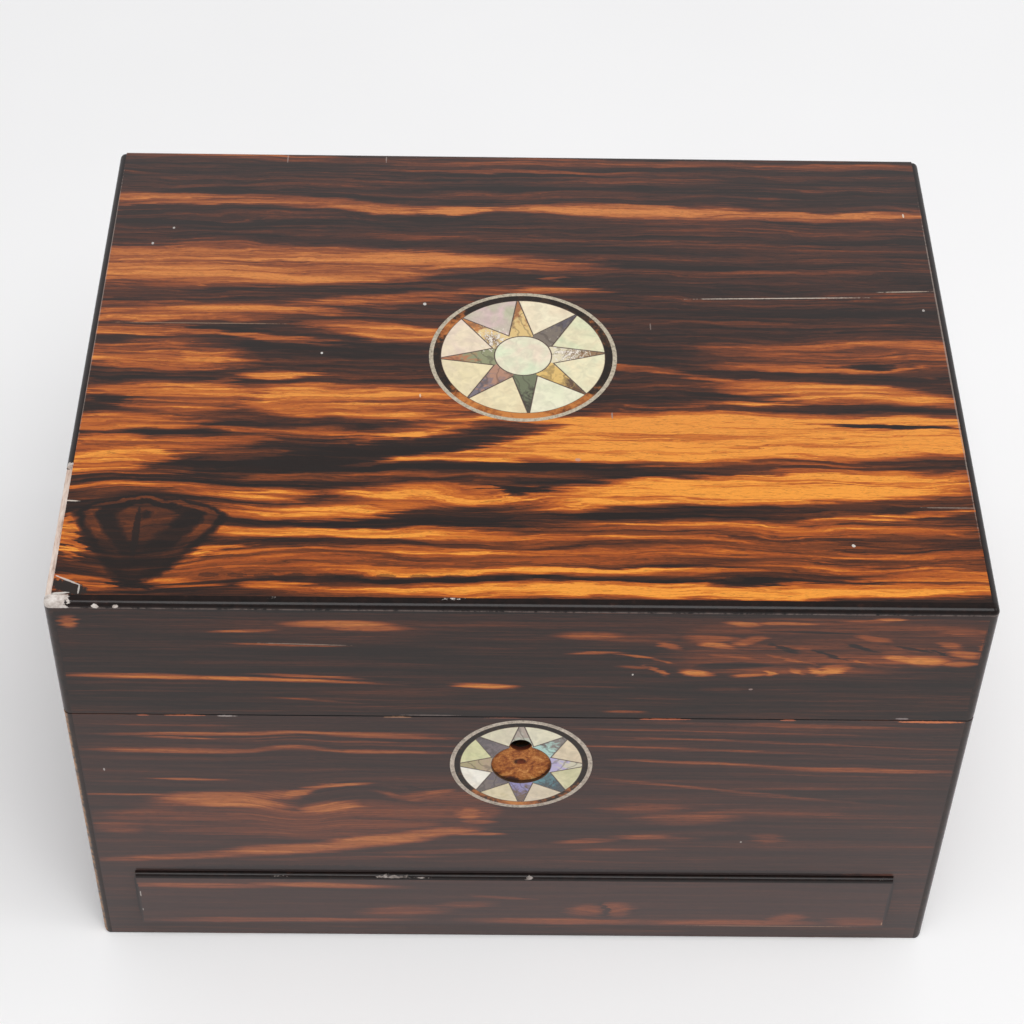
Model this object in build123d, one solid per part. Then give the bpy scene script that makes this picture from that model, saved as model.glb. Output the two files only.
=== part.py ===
from build123d import *
from math import cos, radians, sin
import os

# A veneered vanity box: case, hinged lid, low drawer, lift-out tray and box lock.
# Millimetres. X to the right, Y to the back, Z up, origin under the middle of the box.

# Closed box
case_width = 305.0
case_depth = 229.0
base_height = 130.3
seam_gap = 0.4
lid_height = 55.7

# Boards, veneers and edge strips
wall_board = 9.0
lid_board = 8.0
veneer = 1.2
strip_width = 3.0
strip_rounding = 2.4
bead_width = 3.7
bead_height = 2.4
bead_rounding = 2.2
side_bead_width = 2.4
side_bead_rounding = 2.1
back_arris = 1.0
lost_bead_length = 57.8
baize_thick = 0.8
skin_lift = 0.3

# Drawer bay
rail_height = 9.2
bay_height = 31.0
guide_width = 5.0
dust_board_gap = 1.0
dust_board_thick = 4.0

# Star inlays
star_points = 8
lid_star_x = 0.6
lid_star_y = 2.65
lid_star_radius = 33.0
lid_star_turn = 3.5
lid_ebony_width = 2.6
lid_star_valley = 11.3
lid_disc_radius = 10.0
lid_tip_width = 0.6
front_star_x = 0.95
front_star_drop = 25.9
front_star_radius = 24.4
front_star_turn = 0.5
front_ebony_width = 1.9
front_star_valley = 10.9
front_recess_radius = 10.2
front_tip_width = 1.8
pewter_width = 1.5
centre_mark_radius = 1.9
centre_mark_point = 0.3

# Box lock, in the front board
lock_x = 0.65
keyhole_drop = 15.8
keyhole_radius = 3.85
lock_front_wood = 1.7
lock_half_width = 30.0
lock_height = 29.0
lock_plate_thick = 1.2
selvedge_thick = 1.6
cap_wall = 1.0
cap_margin = 1.4
drill_pin_radius = 1.0
staple_offset = 12.0
staple_thick = 2.2
staple_width = 4.4
staple_drop = 9.0
eye_width = 2.8
eye_height = 4.0
eye_foot = 1.6
slot_clearance = 0.6
bolt_clearance = 0.3
bolt_bar_height = 2.6
bolt_post = 3.0
nose_length = 5.5
nose_width = 1.8
nose_height = 2.6
bolt_tab_width = 4.0
bolt_tab_drop = 2.2
bolt_travel = 5.0

# Butt hinges
hinge_inset = 57.5
hinge_length = 50.0
hinge_leaf_inset = 0.7
hinge_leaf_thick = 1.5
hinge_pin_set = 0.8
knuckle_radius = 2.0
knuckle_clearance = 0.4
knuckle_gap = 0.2
knuckle_count = 5
hinge_pin_radius = 0.9
pin_fit = 0.02
pin_play = 0.08
hinge_screw_pitch = 17.0

# Brass countersunk screws
screw_head_radius = 1.9
screw_head_depth = 1.1
screw_shank_radius = 0.9
screw_point_radius = 0.1
screw_length = 9.0
lock_screw_length = 6.0
screw_slot_width = 0.5
screw_slot_depth = 0.5

# Drawer
drawer_clearance = 0.3
drawer_proud = 1.7
drawer_front_board = 9.0
top_strip_thick = 2.0
top_strip_rounding = 1.2
drawer_side = 5.0
drawer_side_drop = 2.9
drawer_back_thick = 5.0
drawer_bottom_thick = 2.5
drawer_bottom_rise = 1.0
drawer_groove = 2.0
drawer_partition = 3.0
drawer_partition_drop = 4.0
drawer_ring_bay = 100.0
drawer_roll_count = 14

# Drawer pin, dropped through the front board
pin_inset = 19.3
pin_radius = 1.25
pin_clearance = 0.15
pin_travel = 5.0
pin_lift = 0.7
pin_head_radius = 2.2
pin_head_height = 3.0
pin_head_rounding = 0.7
pin_head_clearance = 0.8
collar_radius = 3.2
collar_height = 1.6
pin_hole_depth = 6.0

# Leaf spring behind the drawer
spring_room = 4.3
spring_length = 120.0
spring_width = 12.0
spring_thick = 0.6
spring_foot = 12.0

# Lift-out tray
tray_clearance = 0.8
tray_drop = 4.3
tray_height = 34.0
tray_wall = 5.0
tray_floor_thick = 2.5
tray_partition = 3.0
handle_partition = 6.0
handle_partition_y = 8.0
partition_drop = 3.0
back_partition_x = 60.0
front_partition_x = 48.0
tray_roll_count = 6
knob_x = 94.0
knob_stem_radius = 1.6
knob_stem_height = 3.0
knob_radius = 3.4
support_width = 5.0

# Velvet
velvet_thick = 1.5
roll_height = 7.0
roll_gap = 0.6
velvet_gap = 0.3

# Mirror in the lid
mirror_glass_thick = 3.0
frame_width = 16.0
frame_depth = 7.0
frame_lap = 4.0
lid_pad_width = 38.0
lid_pad_thick = 6.0
lid_pad_edge = 3.0
lid_pad_gap = 0.5

# Planes and levels worked out from the sizes above
half_width = case_width / 2
half_depth = case_depth / 2
skin_x = half_width - veneer
skin_y = half_depth - veneer
inner_x = skin_x - wall_board
inner_y = skin_y - wall_board
rim = base_height
lid_bottom = rim + seam_gap
top = lid_bottom + lid_height
lid_board_top = top - veneer
lid_board_bottom = lid_board_top - lid_board
bead_bottom = top - bead_height
bay_top = rail_height + bay_height
opening_x = inner_x - guide_width
dust_board_bottom = bay_top + dust_board_gap
dust_board_top = dust_board_bottom + dust_board_thick
tray_top = rim - tray_drop
tray_bottom = tray_top - tray_height
hinge_y = half_depth + hinge_pin_set
hinge_z = rim + seam_gap / 2
pin_x = opening_x - pin_inset
pin_y = -(skin_y + inner_y) / 2
front_star_z = rim - front_star_drop
hinge_offset = half_width - hinge_inset
hinge_leaf_front = inner_y + hinge_leaf_inset
hinge_screw_y = (skin_y + inner_y) / 2
keyhole_z = rim - keyhole_drop
lock_front_y = -skin_y + lock_front_wood
lock_middle_y = (lock_front_y - inner_y) / 2
lock_bottom = rim - lock_height
selvedge_bottom = rim - selvedge_thick
plate_front_y = -inner_y - lock_plate_thick
cap_bottom = lock_bottom + cap_margin
staple_bottom = lid_bottom - staple_drop
bolt_reach = staple_offset + staple_thick / 2 + slot_clearance + nose_length + bolt_post
cap_half_width = bolt_reach + bolt_clearance + cap_wall
drawer_front_y = -half_depth - drawer_proud


def block(x_span, y_span, z_span):
    """A rectangular piece between two values on each axis."""
    spans = (x_span, y_span, z_span)
    middle = [(low + high) / 2 for low, high in spans]
    return Pos(*middle) * Box(*[high - low for low, high in spans])


def rod(centre, radius, span, along):
    """A round bar: centre gives its place across the axis, span its two ends along it."""
    bar = Cylinder(radius, span[1] - span[0])
    middle = (span[0] + span[1]) / 2
    if along == "x":
        return Pos(middle, *centre) * Rot(0, 90, 0) * bar
    if along == "y":
        return Pos(centre[0], middle, centre[1]) * Rot(90, 0, 0) * bar
    return Pos(*centre, middle) * bar


def cut(piece, *tools):
    """The piece with every tool taken out of it."""
    for tool in tools:
        piece = piece - tool
    return piece


def both_sides(piece):
    """The piece and its mirror image on the other side of the box."""
    return [piece, piece.mirror(Plane.YZ)]


def write_node(node, *pieces):
    """Write one sub-part: every solid of the given pieces, in one file."""
    solids = [solid for piece in pieces for solid in piece.solids()]
    shape = solids[0] if len(solids) == 1 else Compound(solids)
    export_step(shape, f"parts/{node}.step")


def corner_blocks(z_span):
    """The four square places of the corner strips."""
    strip_x = half_width - strip_width
    strip_y = half_depth - strip_width
    return [
        block(x_span, y_span, z_span)
        for x_span in ((-half_width, -strip_x), (strip_x, half_width))
        for y_span in ((-half_depth, -strip_y), (strip_y, half_depth))
    ]


def rounded_strip(strip):
    """A corner strip with its outer edge worn round, and its foot worn round at the side."""
    uprights = strip.edges().filter_by(Axis.Z)
    outer = uprights.sort_by(lambda edge: edge.center().X ** 2 + edge.center().Y ** 2)[-1]
    foot = strip.edges().filter_by(Axis.Y).sort_by(Axis.Z)[:2].sort_by(lambda edge: abs(edge.center().X))[-1]
    return fillet([outer, foot], strip_rounding)


def screw(length, slotted=True):
    """A countersunk wood screw, head face at the origin, pointing down -Z."""
    head = Pos(0, 0, -screw_head_depth / 2) * Cone(screw_shank_radius, screw_head_radius, screw_head_depth)
    shank_length = length - screw_head_depth - screw_shank_radius
    shank = rod((0, 0), screw_shank_radius, (-screw_head_depth - shank_length, -screw_head_depth), "z")
    point = Cone(screw_point_radius, screw_shank_radius, screw_shank_radius)
    tip = Pos(0, 0, -length + screw_shank_radius / 2) * point
    body = head + shank + tip
    if slotted:
        half_slot = screw_slot_width / 2
        body = body - block(
            (-screw_head_radius, screw_head_radius), (-half_slot, half_slot), (-screw_slot_depth, 0)
        )
    return body


# Screws


def hinge_screw_places(direction):
    """Places of the screws of both hinges, into the base or up into the lid."""
    z = rim if direction == "down" else lid_bottom
    turn = Rot(0, 0, 0) if direction == "down" else Rot(180, 0, 0)
    return [
        Pos(side * hinge_offset + step * hinge_screw_pitch, hinge_screw_y, z) * turn
        for side in (-1, 1)
        for step in (-1, 0, 1)
    ]


def selvedge_screw_places(direction):
    """Places of the two screws at the ends of the selvedge or of the link plate."""
    z = rim if direction == "down" else lid_bottom
    turn = Rot(0, 0, 0) if direction == "down" else Rot(180, 0, 0)
    offset = (lock_half_width + cap_half_width) / 2
    return [Pos(lock_x + side * offset, lock_middle_y, z) * turn for side in (-1, 1)]


def plate_screw_places():
    """Places of the two screws through the lock's back plate, into the front board."""
    offset = (lock_half_width + cap_half_width) / 2
    z = rim - lock_height + screw_head_radius * 2
    return [Pos(lock_x + side * offset, -inner_y, z) * Rot(-90, 0, 0) for side in (-1, 1)]


base_screw_places = (
    [(place, screw_length) for place in hinge_screw_places("down") + selvedge_screw_places("down")]
    + [(place, lock_screw_length) for place in plate_screw_places()]
)
lid_screw_places = [
    (place, screw_length) for place in hinge_screw_places("up") + selvedge_screw_places("up")
]
base_screw_blanks = [place * screw(length, slotted=False) for place, length in base_screw_places]
lid_screw_blanks = [place * screw(length, slotted=False) for place, length in lid_screw_places]


# Hinges


def hinge_leaf_blocks(z_span):
    """The flat of both hinges' leaves, from their front edge to the pin's axis."""
    y_span = (hinge_leaf_front, hinge_y)
    half = hinge_length / 2
    return [
        block((side * hinge_offset - half, side * hinge_offset + half), y_span, z_span) for side in (-1, 1)
    ]


def hinge_notches():
    """Room for the knuckles of both hinges to turn in, cut from the walls and veneers."""
    half = hinge_length / 2 + knuckle_clearance
    radius = knuckle_radius + knuckle_clearance
    return [
        rod((hinge_y, hinge_z), radius, (side * hinge_offset - half, side * hinge_offset + half), "x")
        for side in (-1, 1)
    ]


def knuckle_spans(side, own):
    """X spans of every other knuckle of one hinge, either the leaf's own or its partner's."""
    step = hinge_length / knuckle_count
    start = side * hinge_offset - hinge_length / 2
    return [(start + i * step, start + (i + 1) * step) for i in range(knuckle_count) if (i % 2 == 0) == own]


def hinge_leaves(z_span, base_side, bore, screws):
    """Both hinges' leaves on one side: a flat, every other knuckle, a bore for the pin."""
    leaves = []
    for side, flat in zip((-1, 1), hinge_leaf_blocks(z_span)):
        leaf = flat
        for low, high in knuckle_spans(side, not base_side):
            room = (low - knuckle_gap, high + knuckle_gap)
            leaf = leaf - rod((hinge_y, hinge_z), knuckle_radius + knuckle_clearance, room, "x")
            slab = block(room, (hinge_y - knuckle_radius - knuckle_clearance, hinge_y), z_span)
            leaf = leaf - slab
        for low, high in knuckle_spans(side, base_side):
            leaf = leaf + rod((hinge_y, hinge_z), knuckle_radius, (low, high), "x")
        far = side * hinge_offset
        leaf = leaf - rod((hinge_y, hinge_z), bore, (far - hinge_length, far + hinge_length), "x")
        leaves.append(cut(leaf, *screws))
    return leaves


base_leaf_span = (rim - hinge_leaf_thick, rim)
lid_leaf_span = (lid_bottom, lid_bottom + hinge_leaf_thick)


def build_hinges():
    base_bore = hinge_pin_radius + pin_fit
    lid_bore = hinge_pin_radius + pin_play
    write_node("hinge_base_leaves", *hinge_leaves(base_leaf_span, True, base_bore, base_screw_blanks))
    write_node("hinge_lid_leaves", *hinge_leaves(lid_leaf_span, False, lid_bore, lid_screw_blanks))
    half = hinge_length / 2
    pin = rod((hinge_y, hinge_z), hinge_pin_radius, (hinge_offset - half, hinge_offset + half), "x")
    write_node("hinge_pins", *both_sides(pin))


# Lock


def lock_block(half_x, y_span, z_span):
    """A rectangular piece of the lock, centred on the keyhole's line."""
    return block((lock_x - half_x, lock_x + half_x), y_span, z_span)


selvedge_block = lock_block(lock_half_width, (lock_front_y, -inner_y), (selvedge_bottom, rim))
back_plate_block = lock_block(lock_half_width, (plate_front_y, -inner_y), (lock_bottom, selvedge_bottom))
cap_block = lock_block(cap_half_width, (lock_front_y, plate_front_y), (cap_bottom, selvedge_bottom))
link_plate_block = lock_block(
    lock_half_width, (lock_front_y, -inner_y), (lid_bottom, lid_bottom + selvedge_thick)
)
keyhole = rod((lock_x, keyhole_z), keyhole_radius, (-half_depth, lock_front_y + cap_wall), "y")


def staple_block(side, grow, z_span):
    """One staple of the link plate, or the room round it."""
    x = lock_x + side * staple_offset
    half_x = staple_thick / 2 + grow
    half_y = staple_width / 2 + grow
    return block((x - half_x, x + half_x), (lock_middle_y - half_y, lock_middle_y + half_y), z_span)


def build_lock():
    plate = selvedge_block + back_plate_block
    for side in (-1, 1):
        plate = plate - staple_block(side, slot_clearance, (selvedge_bottom, rim))
    drill_pin = rod(
        (lock_x, keyhole_z), drill_pin_radius, (lock_front_y + cap_wall, plate_front_y), "y"
    )
    write_node("lock_plate", cut(plate + drill_pin, *base_screw_blanks))

    room_y = (lock_front_y + cap_wall, plate_front_y)
    room = lock_block(cap_half_width - cap_wall, room_y, (cap_bottom + cap_wall, selvedge_bottom))
    write_node("lock_cap", cut(cap_block, room, keyhole))

    bar_top = staple_bottom - slot_clearance
    bar_bottom = bar_top - bolt_bar_height
    bar_y = (lock_front_y + cap_wall + bolt_clearance, plate_front_y - bolt_clearance)
    eye_bottom = staple_bottom + eye_foot
    nose_bottom = eye_bottom + (eye_height - nose_height) / 2
    nose_span = (nose_bottom, nose_bottom + nose_height)
    nose_y = (lock_middle_y - nose_width / 2, lock_middle_y + nose_width / 2)
    posts = []
    for side in (-1, 1):
        tip = lock_x + side * staple_offset - staple_thick / 2 - slot_clearance
        root = tip - nose_length
        posts.append(block((root - bolt_post, root), bar_y, (bar_bottom, nose_span[1])))
        posts.append(block((root - bolt_post, tip), nose_y, nose_span))
    bar_start = lock_x - bolt_reach
    bar_end = lock_x + staple_offset - staple_thick / 2 - slot_clearance - nose_length + bolt_post
    bolt = block((bar_start, bar_end), bar_y, (bar_bottom, bar_top))
    for post in posts:
        bolt = bolt + post
    tab_x = lock_x - keyhole_radius - bolt_travel
    bolt = bolt + block((tab_x - bolt_tab_width, tab_x), bar_y, (bar_bottom - bolt_tab_drop, bar_bottom))
    write_node("lock_bolt", bolt)

    link = link_plate_block
    eye_span = (eye_bottom, eye_bottom + eye_height)
    eye_y = (lock_middle_y - eye_width / 2, lock_middle_y + eye_width / 2)
    for side in (-1, 1):
        link = link + staple_block(side, 0, (staple_bottom, lid_bottom))
        x = lock_x + side * staple_offset
        link = link - block((x - staple_thick, x + staple_thick), eye_y, eye_span)
    write_node("link_plate", cut(link, *lid_screw_blanks))


# Star inlays


def star_pieces(radius, ebony_width, valley, disc, turn, tip_width):
    """Flat faces of a star inlay about the origin: two rings, field segments and points."""
    field = radius - pewter_width - ebony_width
    rings = [
        Circle(radius) - Circle(radius - pewter_width),
        Circle(radius - pewter_width) - Circle(field),
    ]
    step = 360 / star_points
    reach = 2 * radius
    segments, points = [], []
    for i in range(star_points):
        middle = radians(turn + 90 + i * step)
        left = middle + radians(step / 2)
        right = middle - radians(step / 2)
        far = middle + radians(step)
        tip = (field * cos(middle), field * sin(middle))
        across = (-sin(middle) * tip_width / 2, cos(middle) * tip_width / 2)
        next_tip = (field * cos(far), field * sin(far))
        next_across = (-sin(far) * tip_width / 2, cos(far) * tip_width / 2)
        tip_left = (tip[0] + across[0], tip[1] + across[1])
        tip_right = (tip[0] - across[0], tip[1] - across[1])
        next_right = (next_tip[0] - next_across[0], next_tip[1] - next_across[1])
        valley_left = (valley * cos(left), valley * sin(left))
        valley_right = (valley * cos(right), valley * sin(right))
        outside = (reach * cos(left), reach * sin(left))
        point = make_face(Polyline((0, 0), valley_right, tip_right, tip_left, valley_left, close=True))
        points.append((point & Circle(field)) - Circle(disc))
        segment = make_face(Polyline(valley_left, tip_left, outside, next_right, close=True))
        segments.append(segment & Circle(field))
    return rings, segments, points


def build_stars():
    rings, segments, points = star_pieces(
        lid_star_radius, lid_ebony_width, lid_star_valley, lid_disc_radius, lid_star_turn, lid_tip_width
    )
    seat = Pos(lid_star_x, lid_star_y, lid_board_top)

    def inlay(face):
        return seat * extrude(face, veneer)

    write_node("lid_star_pewter_ring", inlay(rings[0]))
    write_node("lid_star_ebony_ring", inlay(rings[1]))
    write_node("lid_star_pearl", *[inlay(face) for face in segments], inlay(Circle(lid_disc_radius)))
    write_node("lid_star_abalone", *[inlay(face) for face in points])

    rings, segments, points = star_pieces(
        front_star_radius,
        front_ebony_width,
        front_star_valley,
        front_recess_radius,
        front_star_turn,
        front_tip_width,
    )
    seat = Pos(front_star_x, -skin_y, front_star_z) * Rot(90, 0, 0)
    write_node("front_star_pewter_ring", inlay_front(seat, rings[0]))
    write_node("front_star_ebony_ring", inlay_front(seat, rings[1]))
    write_node("front_star_pearl", *[inlay_front(seat, face) for face in segments])
    write_node("front_star_abalone", *[inlay_front(seat, face) for face in points])


def inlay_front(seat, face):
    """One piece of the front star, with the keyhole bored through it where they meet."""
    bored = seat * extrude(face, veneer) - keyhole
    return bored.solids().sort_by(SortBy.VOLUME)[-1]


# Case


def build_case():
    baize_x = (-skin_x + strip_width, skin_x - strip_width)
    baize_y = (-skin_y + strip_width, skin_y - strip_width)
    write_node("baize_sheet", block(baize_x, baize_y, (0, baize_thick)))

    corners = corner_blocks((skin_lift, rim))
    bottom = block((-skin_x, skin_x), (-skin_y, skin_y), (baize_thick, rail_height))
    write_node("bottom_board", cut(bottom, *corners))

    pin_hole = rod((pin_x, pin_y), pin_radius + pin_clearance, (bay_top, rim), "z")
    collar_room = rod((pin_x, pin_y), collar_radius, (rim - collar_height, rim), "z")
    centre_mark = Pos(front_star_x, -skin_y + veneer / 2, front_star_z) * Rot(90, 0, 0)
    centre_mark = centre_mark * Cone(centre_mark_point, centre_mark_radius, veneer)
    front = block((-skin_x, skin_x), (-skin_y, -inner_y), (bay_top, rim))
    front = cut(front, *corners, selvedge_block, back_plate_block, cap_block, keyhole)
    front = cut(front, pin_hole, collar_room, centre_mark, *base_screw_blanks)
    write_node("base_front_board", front)

    back = block((-skin_x, skin_x), (inner_y, skin_y), (rail_height, rim))
    back = cut(back, *corners, *hinge_leaf_blocks(base_leaf_span), *hinge_notches(), *base_screw_blanks)
    write_node("base_back_board", back)

    side = block((inner_x, skin_x), (-inner_y, inner_y), (rail_height, rim))
    write_node("base_side_boards", *both_sides(side))

    stile = block((opening_x, skin_x), (-half_depth, -inner_y), (rail_height, bay_top))
    write_node("drawer_stiles", *[cut(piece, *corners) for piece in both_sides(stile)])

    guide = block((opening_x, inner_x), (-inner_y, inner_y), (rail_height, dust_board_bottom))
    write_node("drawer_guides", *both_sides(guide))

    dust_board = block((-inner_x, inner_x), (-inner_y, inner_y), (dust_board_bottom, dust_board_top))
    write_node("dust_board", dust_board)

    support = block((inner_x - support_width, inner_x), (-inner_y, inner_y), (dust_board_top, tray_bottom))
    write_node("tray_supports", *both_sides(support))

    collar = rod((pin_x, pin_y), collar_radius, (rim - collar_height, rim), "z")
    write_node("drawer_pin_collar", collar - pin_hole)


def build_case_skin():
    strip_x = half_width - strip_width
    strip_y = half_depth - strip_width
    star_room = rod((front_star_x, front_star_z), front_star_radius, (-half_depth, -skin_y), "y")
    front = block((-strip_x, strip_x), (-half_depth, -skin_y), (bay_top, rim)) - star_room
    rail = block((-strip_x, strip_x), (-half_depth, -skin_y), (skin_lift, rail_height))
    write_node("base_front_veneers", front, rail)

    back = block((-strip_x, strip_x), (skin_y, half_depth), (skin_lift, rim))
    back = cut(back, *hinge_leaf_blocks(base_leaf_span), *hinge_notches())
    write_node("base_back_veneer", back)

    side = block((skin_x, half_width), (-strip_y, strip_y), (skin_lift, rim))
    write_node("base_side_veneers", *both_sides(side))

    write_node("base_corner_strips", *[rounded_strip(strip) for strip in corner_blocks((skin_lift, rim))])


# Lid


def front_bead():
    """The bead along the lid's front edge, rounded in front and over both of its ends."""
    bead = block((-half_width, half_width), (-half_depth, -half_depth + bead_width), (bead_bottom, top))
    upper = bead.edges().filter_by(Axis.X).sort_by(Axis.Z)[-2:].sort_by(Axis.Y)[:1]
    ends = bead.edges().filter_by(Axis.Y).sort_by(Axis.Z)[-2:]
    corners = bead.edges().filter_by(Axis.Z).sort_by(Axis.Y)[:2]
    return fillet(upper + ends + corners, bead_rounding)


def side_bead(sign, front_end):
    """The bead along one side edge of the lid, from front_end to the back, rounded over its back end."""
    x_span = sorted((sign * half_width, sign * (half_width - side_bead_width)))
    bead = block(x_span, (front_end, half_depth), (bead_bottom, top))
    outer = bead.edges().filter_by(Axis.Y).sort_by(Axis.Z)[-2:].sort_by(lambda edge: abs(edge.center().X))[-1:]
    end = bead.edges().filter_by(Axis.X).sort_by(Axis.Z)[-2:].sort_by(Axis.Y)[-1:]
    corner = bead.edges().filter_by(Axis.Z).sort_by(Axis.Y)[-2:].sort_by(lambda edge: abs(edge.center().X))[-1:]
    return fillet(outer + end + corner, side_bead_rounding)


def build_lid():
    bead_back_y = -half_depth + bead_width
    corners = corner_blocks((lid_bottom, bead_bottom))
    grooves = [
        block((-half_width, half_width), (-half_depth, bead_back_y), (bead_bottom, top)),
        block((-half_width, -half_width + side_bead_width), (bead_back_y, half_depth), (bead_bottom, top)),
        block((half_width - side_bead_width, half_width), (bead_back_y, half_depth), (bead_bottom, top)),
    ]
    board = block((-skin_x, skin_x), (-skin_y, skin_y), (lid_board_bottom, lid_board_top))
    write_node("lid_top_board", cut(board, *corners, *grooves))

    rail_span = (lid_bottom, lid_board_bottom)
    head_room = rod(
        (pin_x, pin_y),
        pin_head_radius + pin_head_clearance,
        (lid_bottom, rim + pin_travel + drawer_clearance + pin_head_height + pin_head_clearance),
        "z",
    )
    front = block((-skin_x, skin_x), (-skin_y, -inner_y), rail_span)
    write_node("lid_front_rail", cut(front, *corners, link_plate_block, head_room, *lid_screw_blanks))
    back = block((-skin_x, skin_x), (inner_y, skin_y), rail_span)
    back = cut(back, *corners, *hinge_leaf_blocks(lid_leaf_span), *hinge_notches(), *lid_screw_blanks)
    write_node("lid_back_rail", back)
    side = block((inner_x, skin_x), (-inner_y, inner_y), rail_span)
    write_node("lid_side_rails", *both_sides(side))

    write_node("lid_front_bead", front_bead())
    lost_end_y = bead_back_y + lost_bead_length
    write_node("lid_side_beads", side_bead(-1, lost_end_y), side_bead(1, bead_back_y))


def build_lid_skin():
    strip_x = half_width - strip_width
    strip_y = half_depth - strip_width
    bead_x = half_width - side_bead_width
    star_room = rod((lid_star_x, lid_star_y), lid_star_radius, (lid_board_top, top), "z")
    sheet = block((-bead_x, bead_x), (-half_depth + bead_width, half_depth), (lid_board_top, top))
    arris = sheet.edges().filter_by(Axis.X).sort_by(Axis.Z)[-2:].sort_by(Axis.Y)[-1]
    write_node("lid_top_veneer", fillet(arris, back_arris) - star_room)

    front = block((-strip_x, strip_x), (-half_depth, -skin_y), (lid_bottom, bead_bottom))
    write_node("lid_front_veneer", front)
    back = block((-strip_x, strip_x), (skin_y, half_depth), (lid_bottom, bead_bottom))
    back = back + block((-bead_x, bead_x), (skin_y, half_depth), (bead_bottom, lid_board_top))
    back = cut(back, *hinge_leaf_blocks(lid_leaf_span), *hinge_notches())
    write_node("lid_back_veneer", back)
    side = block((skin_x, half_width), (-strip_y, strip_y), (lid_bottom, bead_bottom))
    write_node("lid_side_veneers", *both_sides(side))

    strips = corner_blocks((lid_bottom, bead_bottom))
    write_node("lid_corner_strips", *[rounded_strip(strip) for strip in strips])


# Mirror and its surround


def mitred_members(outer_x, outer_y, inner_x_half, inner_y_half, z_span):
    """Four blanks that meet on mitres round a rectangular opening."""
    outer = [(-outer_x, -outer_y), (outer_x, -outer_y), (outer_x, outer_y), (-outer_x, outer_y)]
    inner = [
        (-inner_x_half, -inner_y_half),
        (inner_x_half, -inner_y_half),
        (inner_x_half, inner_y_half),
        (-inner_x_half, inner_y_half),
    ]
    members = []
    for i in range(4):
        j = (i + 1) % 4
        outline = make_face(Polyline(outer[i], outer[j], inner[j], inner[i], close=True))
        members.append(Pos(0, 0, z_span[0]) * extrude(outline, z_span[1] - z_span[0]))
    return members


def crowned_bar(length, width, edge, thick):
    """A padded bar along X: flat on top, sides of height edge, a crown below them."""
    half = width / 2
    back = Polyline((-half, thick - edge), (-half, thick), (half, thick), (half, thick - edge))
    crown = ThreePointArc((half, thick - edge), (0, 0), (-half, thick - edge))
    profile = make_face([back, crown])
    return extrude(Plane.YZ.offset(-length / 2) * profile, length)


def build_mirror():
    pad_outer_x = inner_x - lid_pad_gap
    pad_outer_y = inner_y - lid_pad_gap
    pad_inner_x = pad_outer_x - lid_pad_width
    pad_inner_y = pad_outer_y - lid_pad_width
    frame_x = pad_inner_x - lid_pad_gap
    frame_y = pad_inner_y - lid_pad_gap
    sight_x = frame_x - frame_width
    sight_y = frame_y - frame_width
    half_glass_x = sight_x + frame_lap
    half_glass_y = sight_y + frame_lap
    glass_span = (lid_board_bottom - mirror_glass_thick, lid_board_bottom)
    glass = block((-half_glass_x, half_glass_x), (-half_glass_y, half_glass_y), glass_span)
    write_node("mirror_glass", glass)

    frame_span = (lid_board_bottom - frame_depth, lid_board_bottom)
    members = mitred_members(frame_x, frame_y, sight_x, sight_y, frame_span)
    write_node("mirror_frame", *[member - glass for member in members])

    pad_bottom = lid_board_bottom - lid_pad_thick
    pad_span = (pad_bottom, lid_board_bottom)
    blanks = mitred_members(pad_outer_x, pad_outer_y, pad_inner_x, pad_inner_y, pad_span)
    long_bar = crowned_bar(2 * pad_outer_x, lid_pad_width, lid_pad_edge, lid_pad_thick)
    short_bar = Rot(0, 0, 90) * crowned_bar(2 * pad_outer_y, lid_pad_width, lid_pad_edge, lid_pad_thick)
    middle_y = (pad_outer_y + pad_inner_y) / 2
    middle_x = (pad_outer_x + pad_inner_x) / 2
    bars = [
        Pos(0, -middle_y, pad_bottom) * long_bar,
        Pos(middle_x, 0, pad_bottom) * short_bar,
        Pos(0, middle_y, pad_bottom) * long_bar,
        Pos(-middle_x, 0, pad_bottom) * short_bar,
    ]
    write_node("lid_pad", *[bar & blank for bar, blank in zip(bars, blanks)])


# Velvet rolls that hold rings


def ring_rolls(count, x_span, y_span, z):
    """A row of half-round velvet rolls lying along X on a floor at height z."""
    pitch = (y_span[1] - y_span[0]) / count
    half = (pitch - roll_gap) / 2
    rolls = []
    for i in range(count):
        middle = y_span[0] + (i + 0.5) * pitch
        base = Line((middle - half, z), (middle + half, z))
        crown = ThreePointArc((middle + half, z), (middle, z + roll_height), (middle - half, z))
        profile = make_face([base, crown])
        rolls.append(extrude(Plane.YZ.offset(x_span[0]) * profile, x_span[1] - x_span[0]))
    return rolls


# Drawer


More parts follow.
